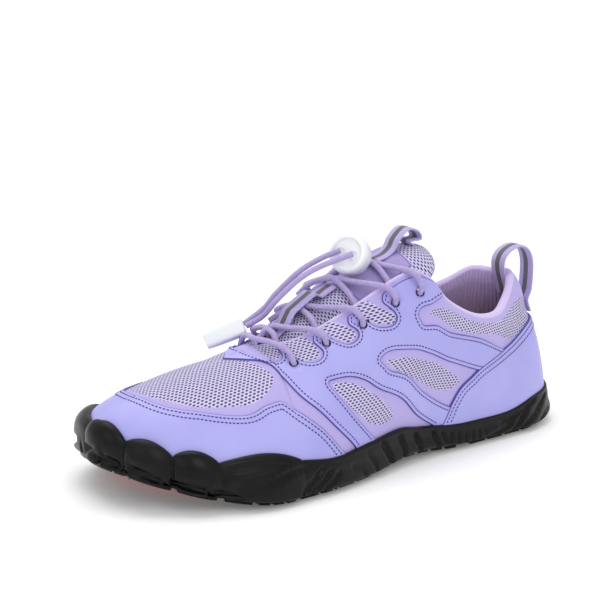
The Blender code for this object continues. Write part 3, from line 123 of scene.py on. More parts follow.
archWindow = [
    (0.262, 0.038), (0.262, 0.062), (0.306, 0.124), (0.365, 0.177), (0.433, 0.233), (0.491, 0.276), (0.537, 0.295), (0.566, 0.202),
    (0.610, 0.101), (0.653, 0.032), (0.706, 0.010), (0.674, -0.122), (0.645, -0.040), (0.613, 0.030), (0.565, 0.070),
    (0.516, 0.085), (0.464, 0.093), (0.418, 0.100), (0.365, 0.090), (0.320, 0.078),
]
toeBand = [(0.775, 0.446), (0.812, 0.356), (0.850, 0.262), (0.892, 0.130), (0.926, -0.010), (0.942, -0.130),
            (0.938, -0.230), (0.912, -0.400)]
rings = [
    # x,    y,      core,  ring from, to,    arc from, to,    first and last degree of the arc
    (0.667, 0.325, 0.078, 0.096, 0.122, 0.146, 0.176, 95, 290),
    (0.806, -0.250, 0.108, 0.132, 0.170, 0.205, 0.240, 75, 250),
]
lastRow = len(footRows) - 1
throatRow = len(collarRows) - 1
loop = 2 * lastRow

def through(values, at, closed=False):
    # a smooth curve through rows of numbers
    values = np.asarray(values, float)
    at = np.asarray(at, float)
    count = len(values)
    first = np.floor(at).astype(int)
    if not closed:
        first = np.clip(first, 0, count - 2)
    f = at - first
    if values.ndim > 1:
        f = f[..., None]
    near = [values[(first + k) % count] if closed else values[np.clip(first + k, 0, count - 1)] for k in (-1, 0, 1, 2)]
    before, start, end, after = near
    if not closed:
        atStart, atEnd = first == 0, first == count - 2
        if values.ndim > 1:
            atStart, atEnd = atStart[..., None], atEnd[..., None]
        before = np.where(atStart, 2 * start - end, before)
        after = np.where(atEnd, 2 * end - start, after)
    return 0.5 * (2 * start + (end - before) * f + (2 * before - 5 * start + 4 * end - after) * f**2
                  + (3 * start - before - 3 * end + after) * f**3)


def column(rows, k):
    return [row[k] for row in rows]


def bothSides(lateral, medial):
    return list(lateral) + list(medial)[-2:0:-1]


def ground(x):
    # height of the sole's lower side over the floor
    share = np.asarray(x) / last["length"]
    toe = np.clip((share - 0.73) / 0.27, 0, 1.1) ** 1.7
    arch = np.sin(np.pi * np.clip((share - 0.28) / 0.28, 0, 1)) ** 2
    heel = np.clip((0.09 - share) / 0.10, 0, 1.2) ** 1.6
    return sole["toeSpring"] * toe + sole["archRise"] * arch + sole["heelBevel"] * heel


def feather(a):
    # the line in plan where upper and sole meet
    at = column(footRows, 0)
    x = through(bothSides(at, at), a, True) * last["length"]
    y = through(bothSides(column(footRows, 1), [-m for m in column(footRows, 2)]), a, True) * last["ball"]
    return x, y


def outward(a, step=0.01):
    # the way out from that line, in plan
    x0, y0 = feather(a - step)
    x1, y1 = feather(a + step)
    dx, dy = x1 - x0, y1 - y0
    length = np.hypot(dx, dy)
    return -dy / length, dx / length


def swing(x):
    return -0.02 * last["ball"] * np.clip((np.asarray(x) / last["length"] - 0.3) / 0.6, 0, 1)


def topLine(a):
    # the upper's top: collar, throat and the ridge over the toes
    a = np.asarray(a, float) % loop
    row = np.where(a <= lastRow, a, loop - a)
    side = np.where(a <= lastRow, 1, -1)
    heights = [last["heelHeight"] * (1 - r[0]) + last["instepHeight"] * r[0] for r in collarRows]
    lateral = [(r[1] * last["length"], r[2] * last["ball"], r[3] * h) for r, h in zip(collarRows, heights)]
    medial = [(r[4] * last["length"], -r[5] * last["ball"], r[6] * h) for r, h in zip(collarRows, heights)]
    edge = np.array(medial[:0:-1] + lateral)
    onEdge = throatRow + side * np.minimum(row, throatRow)
    onRidge = np.clip(row - throatRow, 0, lastRow - throatRow)
    past = row > throatRow - 1e-6
    ridgeX, ridgeZ = column(ridgeRows, 0), column(ridgeRows, 1)
    x = np.where(past, through(ridgeX, onRidge) * last["length"], through(edge[:, 0], onEdge))
    y = np.where(past, 0, through(edge[:, 1], onEdge))
    z = np.where(past, through(ridgeZ, onRidge) * last["instepHeight"], through(edge[:, 2], onEdge))
    step = 0.001
    dx = (through(ridgeX, onRidge + step) - through(ridgeX, onRidge - step)) * last["length"]
    dz = (through(ridgeZ, onRidge + step) - through(ridgeZ, onRidge - step)) * last["instepHeight"]
    return x, y + swing(x), z, np.where(past, dz / dx, 0), past


def surface(a, v):
    # the upper's outside: a counts round the shoe, v goes from the sole up to the top
    a, v = np.broadcast_arrays(np.asarray(a, float), np.asarray(v, float))
    x, y = feather(a)
    ox, oy = outward(a)
    lean, wall, crown, drop = (through(bothSides(column(footRows, k), column(footRows, k)), a, True)
                               for k in (3, 4, 5, 6))
    tx, ty, tz, slope, _ = topLine(a)
    lean, crown = lean * last["ball"], crown * last["ball"]
    low = np.stack([x, y, ground(x) + sole["thickness"] + 1.7 * last["clearance"]], -1)
    top = np.stack([tx, ty, tz], -1)
    rise = np.stack([ox * lean, oy * lean, wall * last["instepHeight"]], -1)
    fall = np.stack([ox * crown, oy * crown, ox * crown * slope - drop * last["instepHeight"]], -1)
    v = v[..., None]
    return (low * (1 - v)**3 + 3 * (low + rise) * v * (1 - v)**2
            + 3 * (top + fall) * v**2 * (1 - v) + top * v**3)


def normal(a, v):
    a, v = np.broadcast_arrays(np.asarray(a, float), np.asarray(v, float))
    step = 0.002
    along = surface(a + step, v) - surface(a - step, v)
    across = surface(a, np.minimum(v + step, 1)) - surface(a, np.maximum(v - step, 0))
    n = np.cross(across, along)
    _, _, _, slope, past = topLine(a)
    ridge = np.stack([-slope, 0 * slope, 1 + 0 * slope], -1)
    n = np.where((past & (v > 0.999))[..., None], ridge, n)
    return n / np.linalg.norm(n, axis=-1, keepdims=True)


def skin(a, v, depth):
    # a place over or under the outside
    return surface(a, v) + normal(a, v) * np.broadcast_to(np.asarray(depth, float), np.broadcast(a, v).shape)[..., None]

fine = np.linspace(0, loop, 1201)
fineX, fineY = feather(fine)
fineLength = np.concatenate([[0], np.cumsum(np.hypot(np.diff(fineX), np.diff(fineY)))])

def loopAt(distance):
    return np.interp(np.asarray(distance, float) % fineLength[-1], fineLength, fine)


def distanceTo(a):
    return np.interp(a, fine, fineLength)


def scallop(a):
    # how far the toe bumps push out and rise
    out, rise = np.zeros_like(a), np.zeros_like(a)
    for start, end, push, lift in scallops:
        f = np.clip((a - start) / (end - start), 0, 1)
        hump = np.sin(np.pi * f) ** 0.7
        out += push * last["ball"] * hump
        rise += lift * hump
    return out, rise


def randTop(a):
    # share of the upper's side that the rubber covers
    edge = through(bothSides(column(randRows, 0), column(randRows, 1)), a, True)
    return edge + scallop(a)[1]


def soleEdge(a, inset=0.0):
    # the sole's edge in plan
    x, y = feather(a)
    ox, oy = outward(a)
    out = sole["rand"] * 0.55 + 0.75 * scallop(a)[0] - inset
    return np.stack([x + ox * out, y + oy * out], -1)


def grid(points):
    m, n = points.shape[:2]
    faces = [(i * n + j, (i + 1) * n + j, (i + 1) * n + j + 1, i * n + j + 1) for i in range(m - 1) for j in range(n - 1)]
    return points.reshape(-1, 3), faces


def ringNet(points):
    return grid(np.concatenate([points, points[:1]]))


def planMesh(outline, shapes=(), spread=()):
    # triangles inside an outline, cut along the shapes in it
    scale = 1000.0
    points, loops = [], []
    for loop in [outline, *shapes]:
        loop = np.asarray(loop, float)[:, :2] * scale
        after = np.roll(loop, -1, 0)
        turn = np.sum(loop[:, 0] * after[:, 1] - loop[:, 1] * after[:, 0])
        loops.append(list(range(len(points), len(points) + len(loop))))
        points += [tuple(p) for p in (loop if turn > 0 else loop[::-1])]
    points += [tuple(p) for p in np.asarray(spread, float).reshape(-1, 2) * scale]
    verts, _, faces, _, _, origin = delaunay_2d_cdt(points, [], loops, 1, 1e-4)
    triangles, kinds = [], []
    for face, sources in zip(faces, origin):
        inside = [k for k in sources if k > 0]
        triangles.append(tuple(face))
        kinds.append(min(inside) if inside else 0)
    return np.array([tuple(p) for p in verts]) / scale, triangles, kinds


def smoothLoop(points, each):
    points = np.asarray(points, float)
    return through(points, np.arange(len(points) * each) / each, True)


def smoothLine(points, each):
    points = np.asarray(points, float)
    return through(points, np.linspace(0, len(points) - 1, (len(points) - 1) * each + 1))


def shrink(outline, inset):
    # an outline moved inwards by the same width all round
    outline = np.asarray(outline, float)
    along = np.roll(outline, -1, 0) - outline
    turn = np.stack([-along[:, 1], along[:, 0]], -1)
    turn /= np.linalg.norm(turn, axis=1, keepdims=True)
    before = np.roll(turn, 1, 0)
    mitre = (turn + before) / np.maximum(1 + np.sum(turn * before, 1, keepdims=True), 0.12)
    x, y = outline[:, 0], outline[:, 1]
    area = np.sum(x * np.roll(y, -1) - y * np.roll(x, -1))
    return outline + mitre * inset * (1 if area > 0 else -1)


def brick(start, end, near, far, steps=2):
    # a lug along the sole's edge, between two lengths and two insets
    a = loopAt(np.linspace(start, end, steps + 1))
    return np.concatenate([soleEdge(a, near), soleEdge(a[::-1], far)])


lugLook = {"gap": 0.0014, "edge": 0.0010, "band": 0.0019}


def lugOutlines():
    lugs = []
    gap, edge = lugLook["gap"], lugLook["edge"]

    def run(start, end, count, near, far, steps=2, slant=0.0):
        pitch = (end - start) / count
        for k in range(count):
            near0, near1 = start + pitch * k + gap / 2, start + pitch * (k + 1) - gap / 2
            lug = brick(near0, near1, near, far, steps)
            if slant:
                shifted = brick(near0 + slant, near1 + slant, near, far, steps)
                lug[steps + 1:] = shifted[steps + 1:]
            lugs.append(lug)

    quarter = 0.33 * last["length"]
    # heel: three rows of bricks round the end
    run(-quarter, quarter, 14, edge, edge + 0.0078)
    run(-0.26 * last["length"], 0.26 * last["length"], 10, edge + 0.0095, edge + 0.0160, 2)
    # arch: short slanted ribs outside, long ones inside
    run(0.36 * last["length"], 0.58 * last["length"], 6, edge, edge + 0.0075, 1, -0.004)
    run(-0.60 * last["length"], -0.35 * last["length"], 8, edge, edge + 0.0170, 1, 0.003)
    # forefoot edges
    run(0.60 * last["length"], distanceTo(10.1), 4, edge, edge + 0.0055, 2)
    medialStart, medialEnd = distanceTo(18.45) - fineLength[-1], -0.62 * last["length"]
    run(medialStart, medialEnd, 5, edge, edge + 0.0055, 2)
    # little toe
    toeStart, toeEnd = distanceTo(scallops[0][0]), distanceTo(scallops[0][1])
    run(toeStart + 0.001, toeEnd - 0.0165, 3, edge, edge + 0.0085, 1, 0.002)
    run(toeEnd - 0.0155, toeEnd - 0.0008, 1, edge, edge + 0.0100, 3)
    # three middle toes: a block at the rim and a pointed pad behind it
    for start, end, _, _ in scallops[1:4]:
        d0, d1 = distanceTo(start) + 0.0011, distanceTo(end) - 0.0011
        lugs.append(brick(d0, d1, edge, edge + 0.0062, 4))
        a = loopAt([d0 + 0.0004, (d0 + d1) / 2, d1 - 0.0004])
        near, far, tip = edge + 0.0076, edge + 0.0125, edge + 0.0180
        pad = [soleEdge(a[:1], near)[0], soleEdge(a[2:], near)[0], soleEdge(a[2:], far)[0],
               soleEdge(a[1:2], tip)[0], soleEdge(a[:1], far)[0]]
        lugs.append(np.array(pad))
    # big toe: three long curved ridges
    start, end = distanceTo(scallops[4][0]), distanceTo(scallops[4][1])
    for k, (near, far, reach) in enumerate([(0, 0.0052, 0.98), (0.0066, 0.0108, 0.84), (0.0122, 0.0158, 0.55)]):
        lugs.append(brick(start + 0.0014 + 0.004 * k, start + (end - start) * reach, edge + near, edge + far, 8))
    # band behind the toes
    line = smoothLine(toeBand, 2) * [last["length"], last["ball"]]
    side = np.gradient(line, axis=0)
    side = np.stack([-side[:, 1], side[:, 0]], -1) / np.linalg.norm(side, axis=1, keepdims=True)
    lugs.append(np.concatenate([line + side * lugLook["band"], (line - side * lugLook["band"])[::-1]]))
    # rings with split cores
    for x, y, core, inner, outer, far, farthest, arcStart, arcEnd in rings:
        centre = np.array([x * last["length"], y * last["ball"]])

        def arc(radius, start, end, steps):
            t = np.radians(np.linspace(start, end, steps + 1))
            return centre + radius * last["ball"] * np.stack([np.cos(t), np.sin(t)], -1)

        for side in (12, 192):
            lugs.append(arc(core, side, side + 156, 6))
        for side in (0, 180):
            lugs.append(np.concatenate([arc(outer, side + 4, side + 176, 8), arc(inner, side + 176, side + 4, 6)]))
        lugs.append(np.concatenate([arc(farthest, arcStart, arcEnd, 9), arc(far, arcEnd, arcStart, 7)]))
    return lugs


def wallAt(a, v):
    # the upper's thickness, with the padding at the collar
    row = np.where(a <= lastRow, a, loop - a)
    collar = np.clip((6.2 - row) / 1.5, 0, 1) * np.clip((v - 0.45) / 0.3, 0, 1) * np.clip((1.02 - v) / 0.12, 0, 1)
    return last["wall"] + last["padding"] * collar


def eyelet(k, lateral):
    a, v, ahead = eyelets[k]
    return (a, v) if lateral else (loop - a - ahead, v)


def tongueRows(x):
    at = np.linspace(0, len(tongueTable) - 1, 200)
    xs = through(column(tongueTable, 0), at)[::-1] * last["length"]
    sizes = (last["instepHeight"], last["ball"], last["instepHeight"], tongue["thickness"], last["ball"])
    return [np.interp(x, xs, through(column(tongueTable, k + 1), at)[::-1] * size) for k, size in enumerate(sizes)]


def liningSamples():
    a = np.concatenate([np.arange(5.4, 11.2, 0.06), loop - np.arange(5.4, 11.2, 0.06)])
    v = np.linspace(0.62, 1, 28)
    return skin(a[:, None], v[None, :], -wallAt(a[:, None], v[None, :])).reshape(-1, 3)

lining = liningSamples()

def tongueTop(x, y):
    # the tongue's upper face, kept under the lining
    x, y = np.broadcast_arrays(np.asarray(x, float), np.asarray(y, float))
    z, half, drop, _, middle = tongueRows(x)
    top = z - drop * np.abs((y - middle) / half) ** 2.2
    reach = 0.036 * last["ball"]
    cap = np.full(x.shape, np.inf)
    for k in np.ndindex(x.shape):
        near = lining[np.hypot(lining[:, 0] - x[k], lining[:, 1] - y[k]) < reach]
        if len(near):
            cap[k] = near[:, 2].min() - 3 * last["clearance"]
    return np.minimum(top, cap)


def tongueMiddle(x):
    return tongueRows(x)[4]


def runOf(path):
    # length from the start to each point of a path
    return np.concatenate([[0], np.cumsum(np.linalg.norm(np.diff(path, axis=0), axis=1))])


def even(path, step):
    path = np.asarray(path, float)
    length = runOf(path)
    at = np.linspace(0, length[-1], max(3, int(round(length[-1] / step)) + 1))
    return np.stack([np.interp(at, length, path[:, k]) for k in range(path.shape[1])], -1)


def tapePath(x):
    # the tape along the tongue, humped over the lace at its keeper
    keeper = 0.571 * last["length"]
    rise = lace["diameter"] + 4.5 * last["clearance"]
    hump = rise * np.clip(1.7 * np.cos(np.clip((x - keeper) / (0.040 * last["length"]), -1, 1) * math.pi / 2), 0, 1)
    return tongueTop(x, tongueMiddle(x)) + 2.2 * last["clearance"] + tape["thickness"] / 2 + hump


def onEyestay(a, v):
    lift = overlay["gap"] + overlay["thickness"] + 2.0 * last["clearance"] + lace["diameter"] / 2
    return skin(np.array([a]), np.array([v]), lift)[0]


def onTongue(x, y, overTape):
    extra = tape["thickness"] + 2.2 * last["clearance"] if overTape and abs(y - tongueMiddle(x)) < 0.009 else 0.0
    step = 0.7 * lace["diameter"]
    near = [[x + dx, y + dy] for dx in (-step, 0, step) for dy in (-step, 0, step)]
    top = tongueTop(*np.array(near).T).max()
    return np.array([x, y, top + extra + 1.8 * last["clearance"] + lace["diameter"] / 2])


def along(a, v, lateral, step):
    return (a + step, v) if lateral else (a - step, v)


def crossingPath(k, lateral, overTape):
    # one strand from its eyelet over the tongue to the other side
    start = onEyestay(*eyelet(k, lateral))
    edge = onEyestay(*along(eyelet(k, lateral)[0], 0.985, lateral, 0.12))
    far = surface(*(np.array([p]) for p in along(eyelet(k + 1, not lateral)[0], 1.0, not lateral, -0.12)))[0]
    middle = tongueMiddle(far[0])
    endY = far[1] + (middle - far[1]) / abs(middle - far[1]) * (lace["diameter"] / 2 + 0.0016)
    centreX = 0.5 * (edge[0] + far[0])
    end = onTongue(far[0], endY, False)
    centre = onTongue(centreX, tongueMiddle(centreX), overTape)
    quarterX, quarterY = 0.45 * edge[0] + 0.55 * centreX, 0.45 * edge[1] + 0.55 * centre[1]
    near = onTongue(quarterX, quarterY, overTape)
    near[2] = max(near[2], 0.35 * edge[2] + 0.65 * centre[2])
    beyond = onTongue(0.4 * centreX + 0.6 * far[0], 0.4 * centre[1] + 0.6 * endY, overTape)
    beyond[2] = max(beyond[2], 0.4 * centre[2] + 0.6 * end[2])
    return [start, edge, near, centre, beyond, end]

lockCentre = (0.461, -0.010, 1.062)     # share of length, ball width, instep height
lockAxis = (0.80, 0.45, 0.40)
clipEnds = [(0.642, -0.234, 0.700), (0.695, -0.292, 0.640)]
freeEnds = [
    [(0.540, 0.010, 1.029), (0.579, -0.021, 0.968), (0.612, -0.073, 0.863), (0.622, -0.146, 0.766)],
    [(0.518, -0.036, 1.063), (0.563, -0.063, 1.001), (0.601, -0.115, 0.886), (0.614, -0.167, 0.799)],
]

def lockFrame():
    centre = np.array(lockCentre) * [last["length"], last["ball"], last["instepHeight"]]
    axis = np.array(lockAxis) / np.linalg.norm(lockAxis)
    side = np.array([-0.66, 0.70, -0.27])
    side -= axis * (side @ axis)
    side /= np.linalg.norm(side)
    return centre, axis, side, np.cross(axis, side)


# The functions above measure from the heel. The model stands with the middle of its sole at the origin
rim = soleEdge(np.linspace(0, loop, 600))
origin = np.array([(rim[:, 0].min() + rim[:, 0].max()) / 2, (rim[:, 1].min() + rim[:, 1].max()) / 2, 0])


def node(tree, kind, inputs=None, **settings):
    made = tree.nodes.new("ShaderNode" + kind)
    for key, value in settings.items():
        setattr(made, key, value)
    for key, value in (inputs or {}).items():
        if isinstance(value, bpy.types.NodeSocket):
            tree.links.new(value, made.inputs[key])
        else:
            made.inputs[key].default_value = value
    return made


def maths(tree, operation, first, second=0.0, third=0.0):
    return node(tree, "Math", {0: first, 1: second, 2: third}, operation=operation).outputs[0]


def fade(tree, value, low, high, start=0.0, end=1.0):
    inputs = {"Value": value, "From Min": low, "From Max": high, "To Min": start, "To Max": end}
    return node(tree, "MapRange", inputs, interpolation_type="SMOOTHSTEP").outputs[0]


def mixed(tree, share, first, second):
    made = node(tree, "Mix", data_type="RGBA")
    for key, value in ((0, share), (6, first), (7, second)):
        if isinstance(value, bpy.types.NodeSocket):
            tree.links.new(value, made.inputs[key])
        else:
            made.inputs[key].default_value = value if key == 0 else (*value, 1)
    return made.outputs[2]


def speckle(tree, scale, detail=2.0, where=None):
    where = where or node(tree, "TexCoord").outputs["Object"]
    return node(tree, "TexNoise", {"Vector": where, "Scale": scale, "Detail": detail}).outputs["Fac"]


def stored(tree, name):
    return node(tree, "Attribute", attribute_name=name)


def finish(name, roughness, **settings):
    made = bpy.data.materials.new(name)
    made.use_nodes = True
    shader = made.node_tree.nodes["Principled BSDF"]
    shader.inputs["Roughness"].default_value = roughness
    for key, value in settings.items():
        shader.inputs[key.replace("_", " ")].default_value = value
    return made, made.node_tree, shader


def plug(tree, shader, colour=None, roughness=None, height=None, depth=0.0002, strength=1.0):
    if colour is not None:
        tree.links.new(colour, shader.inputs["Base Color"])
    if roughness is not None:
        tree.links.new(roughness, shader.inputs["Roughness"])
    if height is not None:
        raised = node(tree, "Bump", {"Height": height, "Distance": depth, "Strength": strength})
        tree.links.new(raised.outputs[0], shader.inputs["Normal"])


def makePiece(name, nets, materials, replaced=(), weld=0.0, stored=None, kinds=None):
    points, faces, look = [], [], []
    for k, (p, f) in enumerate(nets):
        start = sum(len(q) for q in points)
        points.append(np.asarray(p, float) - origin)
        faces += [tuple(i + start for i in face) for face in f]
        look += [0 if kinds is None else kinds[k]] * len(f)
    data = bpy.data.meshes.new(name)
    data.from_pydata(np.concatenate(points).tolist(), [], faces)
    for key, values in (stored or {}).items():
        values = np.asarray(values, np.float32)
        layer = data.attributes.new(key, "FLOAT" if values.ndim == 1 else "FLOAT_VECTOR", "POINT")
        layer.data.foreach_set("value" if values.ndim == 1 else "vector", values.ravel())
    for material in materials:
        data.materials.append(material)
    data.polygons.foreach_set("material_index", look)
    data.polygons.foreach_set("use_smooth", [True] * len(faces))
    work = bmesh.new()
    work.from_mesh(data)
    if weld:
        bmesh.ops.remove_doubles(work, verts=work.verts, dist=weld)
    bmesh.ops.recalc_face_normals(work, faces=work.faces)
    work.to_mesh(data)
    work.free()
    piece = bpy.data.objects.new(name, data)
    bpy.context.scene.collection.objects.link(piece)
    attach(piece, "root")
    if replaced:
        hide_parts(*replaced)
    print("made", name, len(faces), "faces")
    return piece


def closedNet(rings):
    return grid(np.concatenate([rings, rings[:, :1]], 1))


def tube(path, radius, sides=12):
    path = np.asarray(path, float)
    heading = np.gradient(path, axis=0)
    heading /= np.linalg.norm(heading, axis=1, keepdims=True)
    side = np.cross(heading, [0.13, 0.05, 1.0])
    side /= np.linalg.norm(side, axis=1, keepdims=True)
    lift = np.cross(side, heading)
    t = np.arange(sides) * math.tau / sides
    rings = path[:, None] + radius * (np.cos(t)[None, :, None] * side[:, None] + np.sin(t)[None, :, None] * lift[:, None])
    return [closedNet(rings)] + [(rings[k], [tuple(range(sides))]) for k in (0, -1)]


# Camera and light
view = {"eye": (0.59776, 0.74398, 0.31630), "aim": (0.01867, 0.0, 0.07738), "roll": 0.014103, "lens": 124.794}
forward = (Vector(view["aim"]) - Vector(view["eye"])).normalized()
right = forward.cross(Vector((0, 0, 1))).normalized()
up = right.cross(forward)
tilted = right * math.cos(view["roll"]) + up * math.sin(view["roll"])
upright = up * math.cos(view["roll"]) - right * math.sin(view["roll"])
cameraData = bpy.data.cameras.new("camera")
cameraData.lens, cameraData.sensor_width, cameraData.clip_start = view["lens"], 36, 0.05
camera = bpy.data.objects.new("camera", cameraData)
camera.matrix_world = Matrix.Translation(view["eye"]) @ Matrix((tilted, upright, -forward)).transposed().to_4x4()
bpy.context.scene.collection.objects.link(camera)
bpy.context.scene.camera = camera

studio = {
    "sky": 0.755,
    "floor": (0.97, 0.97, 0.97),
    "glow": 0.09,
    # at, towards, size, power
    "lamps": [((-0.1, -0.9, 2.8), (0, 0, 0), 2.6, 40), ((0.35, 1.3, 1.2), (0.02, 0, 0.04), 0.8, 5),
              ((1.5, 0.3, 0.9), (0, 0, 0.05), 1.0, 2.0)],
}
bpy.context.scene.view_settings.view_transform = "Standard"
world = bpy.data.worlds.new("studio")
world.use_nodes = True
world.node_tree.nodes["Background"].inputs[0].default_value = (1, 1, 1, 1)
world.node_tree.nodes["Background"].inputs[1].default_value = studio["sky"]
bpy.context.scene.world = world
for k, (at, towards, size, power) in enumerate(studio["lamps"]):
    lamp = bpy.data.lights.new(f"softbox{k + 1}", "AREA")
    lamp.shape, lamp.size, lamp.energy = "SQUARE", size, power
    holder = bpy.data.objects.new(f"softbox{k + 1}", lamp)
    holder.location = at
    holder.rotation_euler = (Vector(towards) - Vector(at)).to_track_quat("-Z", "Y").to_euler()
    bpy.context.scene.collection.objects.link(holder)
floorMaterial, floorTree, floorShader = finish("pale floor", 0.6, Specular_IOR_Level=0.2,
                                               Emission_Color=(1, 1, 1, 1), Emission_Strength=studio["glow"])
floorTone = speckle(floorTree, 3.0)
plug(floorTree, floorShader, mixed(floorTree, floorTone, studio["floor"], tuple(0.99 * c for c in studio["floor"])))
floorData = bpy.data.meshes.new("floor")
floorData.from_pydata([(-4, -4, -0.0003), (4, -4, -0.0003), (4, 4, -0.0003), (-4, 4, -0.0003)], [], [(0, 1, 2, 3)])
floorData.materials.append(floorMaterial)
floor = bpy.data.objects.new("floor", floorData)
bpy.context.scene.collection.objects.link(floor)
print("camera, light and floor are set")


# Finishes
colours = {
    # hole: painted shade seen through the knit's openings, which are dark ovals in the colour rather than cut through
    "knit": (0.47, 0.402, 0.77), "knitOpen": (0.73, 0.685, 0.99), "hole": (0.09, 0.06, 0.17), "binding": (0.62, 0.52, 0.80),
    # edge: the panels' cut edges, darker partly as real cut coating and partly as painted shade under the edge step;
    # the same colour is painted shade inside the eyelet and lock holes
    "coating": (0.405, 0.390, 0.80), "coatingShade": (0.365, 0.352, 0.76), "edge": (0.09, 0.07, 0.34), "thread": (0.045, 0.03, 0.20),
    # the second lining colour is painted shade, darker and browner low inside the shoe
    "lining": (0.66, 0.50, 0.86), "liningPaintedShade": (0.42, 0.19, 0.13),
    "lace": (0.44, 0.36, 0.66), "tape": (0.50, 0.42, 0.78), "stripe": (0.085, 0.08, 0.08),
    "rubber": (0.0035, 0.0035, 0.004), "rubberWorn": (0.0065, 0.0065, 0.007),
    "inlay": (1.0, 0.055, 0.016), "inlayCut": (0.10, 0.008, 0.004), "plastic": (0.86, 0.88, 0.91), "footbed": (0.24, 0.18, 0.34),
    "cover": (0.37, 0.305, 0.59), "coverShade": (0.33, 0.27, 0.54), "coverLine": (0.16, 0.12, 0.33),
}


def staggeredHoles(tree, where, pitch, hole):
    # ovals in rows, every second row half a pitch along
    parts = node(tree, "SeparateXYZ", {0: where})
    row = maths(tree, "DIVIDE", parts.outputs[1], pitch[1])
    half = maths(tree, "MULTIPLY", maths(tree, "MODULO", maths(tree, "ADD", maths(tree, "FLOOR", row), 1000.0), 2.0), 0.5)
    place = maths(tree, "FRACT", maths(tree, "ADD", maths(tree, "DIVIDE", parts.outputs[0], pitch[0]), half))
    across = maths(tree, "DIVIDE", maths(tree, "MULTIPLY", maths(tree, "SUBTRACT", place, 0.5), pitch[0]), hole[0] / 2)
    down = maths(tree, "DIVIDE", maths(tree, "MULTIPLY", maths(tree, "SUBTRACT", maths(tree, "FRACT", row), 0.5), pitch[1]), hole[1] / 2)
    reach = maths(tree, "SQRT", maths(tree, "ADD", maths(tree, "MULTIPLY", across, across), maths(tree, "MULTIPLY", down, down)))
    return fade(tree, reach, 1.15, 0.75)


def knitFinish():
    made, tree, shader = finish("knit", 0.85, Sheen_Weight=0.25, Sheen_Roughness=0.5, Specular_IOR_Level=0.25)
    weave = stored(tree, "weave").outputs["Vector"]
    zone = fade(tree, stored(tree, "zone").outputs["Fac"], 0.15, -0.25)
    lining = stored(tree, "lining").outputs["Fac"]
    binding = stored(tree, "binding").outputs["Fac"]
    deep = stored(tree, "deep").outputs["Fac"]
    hole = maths(tree, "MULTIPLY", staggeredHoles(tree, weave, (2.3, 1.25), (1.62, 0.90)), zone)
    loops = node(tree, "TexWave", {"Vector": weave, "Scale": 1.6, "Distortion": 1.5, "Detail": 1.0, "Detail Scale": 3.0},
                 bands_direction="DIAGONAL").outputs["Fac"]
    cloud = speckle(tree, 60, 3)
    solid = mixed(tree, cloud, colours["knit"], tuple(0.90 * c for c in colours["knit"]))
    opened = mixed(tree, loops, colours["knitOpen"], tuple(0.86 * c for c in colours["knitOpen"]))
    base = mixed(tree, zone, solid, opened)
    # painted shade: the knit's openings are painted dark
    base = mixed(tree, hole, base, colours["hole"])
    base = mixed(tree, binding, base, colours["binding"])
    ribs = maths(tree, "SINE", maths(tree, "MULTIPLY", node(tree, "SeparateXYZ", {0: weave}).outputs[0], 3.1))
    ribbed = fade(tree, ribs, -1, 1)
    # painted shade: the lining turns darker and browner towards the inside floor
    inner = mixed(tree, deep, colours["lining"], colours["liningPaintedShade"])
    inner = mixed(tree, maths(tree, "MULTIPLY", ribbed, 0.35), inner, tuple(0.5 * c for c in colours["lining"]))
    base = mixed(tree, lining, base, inner)
    height = maths(tree, "SUBTRACT", maths(tree, "MULTIPLY", maths(tree, "MULTIPLY", loops, zone), 0.2), hole)
    height = maths(tree, "ADD", height, maths(tree, "MULTIPLY", speckle(tree, 1500, 2), 0.12))
    height = maths(tree, "ADD", height, maths(tree, "MULTIPLY", maths(tree, "MULTIPLY", ribbed, lining), 1.2))
    plug(tree, shader, base, None, height, 0.0005, 0.8)
    return made


def coatingFinish(name, colour, shade):
    made, tree, shader = finish(name, 0.42, Coat_Weight=0.12, Coat_Roughness=0.35, Specular_IOR_Level=0.4)
    grain = speckle(tree, 1400, 2)
    cloud = speckle(tree, 26, 2)
    tone = mixed(tree, fade(tree, cloud, 0.35, 0.65), colour, shade)
    rough = fade(tree, grain, 0.3, 0.7, 0.38, 0.50)
    plug(tree, shader, tone, rough, maths(tree, "ADD", grain, maths(tree, "MULTIPLY", cloud, 0.6)), 0.00006, 0.5)
    return made


def plainFinish(name, colour, roughness, scale, depth, fleck=0.85, **settings):
    made, tree, shader = finish(name, roughness, **settings)
    grain = speckle(tree, scale, 3)
    tone = mixed(tree, grain, colour, tuple(fleck * c for c in colour))
    plug(tree, shader, tone, fade(tree, grain, 0.3, 0.7, roughness * 0.9, roughness * 1.1), grain, depth, 0.6)
    return made


def rubberFinish():
    made, tree, shader = finish("black rubber", 0.5, Specular_IOR_Level=0.17)
    grain, cloud = speckle(tree, 900, 3), speckle(tree, 45, 3)
    tone = mixed(tree, fade(tree, cloud, 0.3, 0.7), colours["rubber"], colours["rubberWorn"])
    plug(tree, shader, tone, fade(tree, cloud, 0.3, 0.7, 0.28, 0.42), grain, 0.00004, 0.5)
    return made


def tapeFinish():
    made, tree, shader = finish("striped tape", 0.75, Sheen_Weight=0.3, Sheen_Roughness=0.45)
    place = stored(tree, "across")
    parts = node(tree, "SeparateXYZ", {0: place.outputs["Vector"]})
    middle = fade(tree, maths(tree, "ABSOLUTE", parts.outputs[0]), 0.36, 0.31)
    weft = maths(tree, "SINE", maths(tree, "MULTIPLY", parts.outputs[1], 7.0))
    warp = maths(tree, "SINE", maths(tree, "MULTIPLY", parts.outputs[0], 40.0))
    weave = fade(tree, maths(tree, "ADD", weft, warp), -1.6, 1.6)
    side = mixed(tree, weave, tuple(0.82 * c for c in colours["tape"]), colours["tape"])
    dark = mixed(tree, weave, colours["stripe"], tuple(1.5 * c for c in colours["stripe"]))
    plug(tree, shader, mixed(tree, middle, side, dark), None, weave, 0.00015, 0.7)
    return made


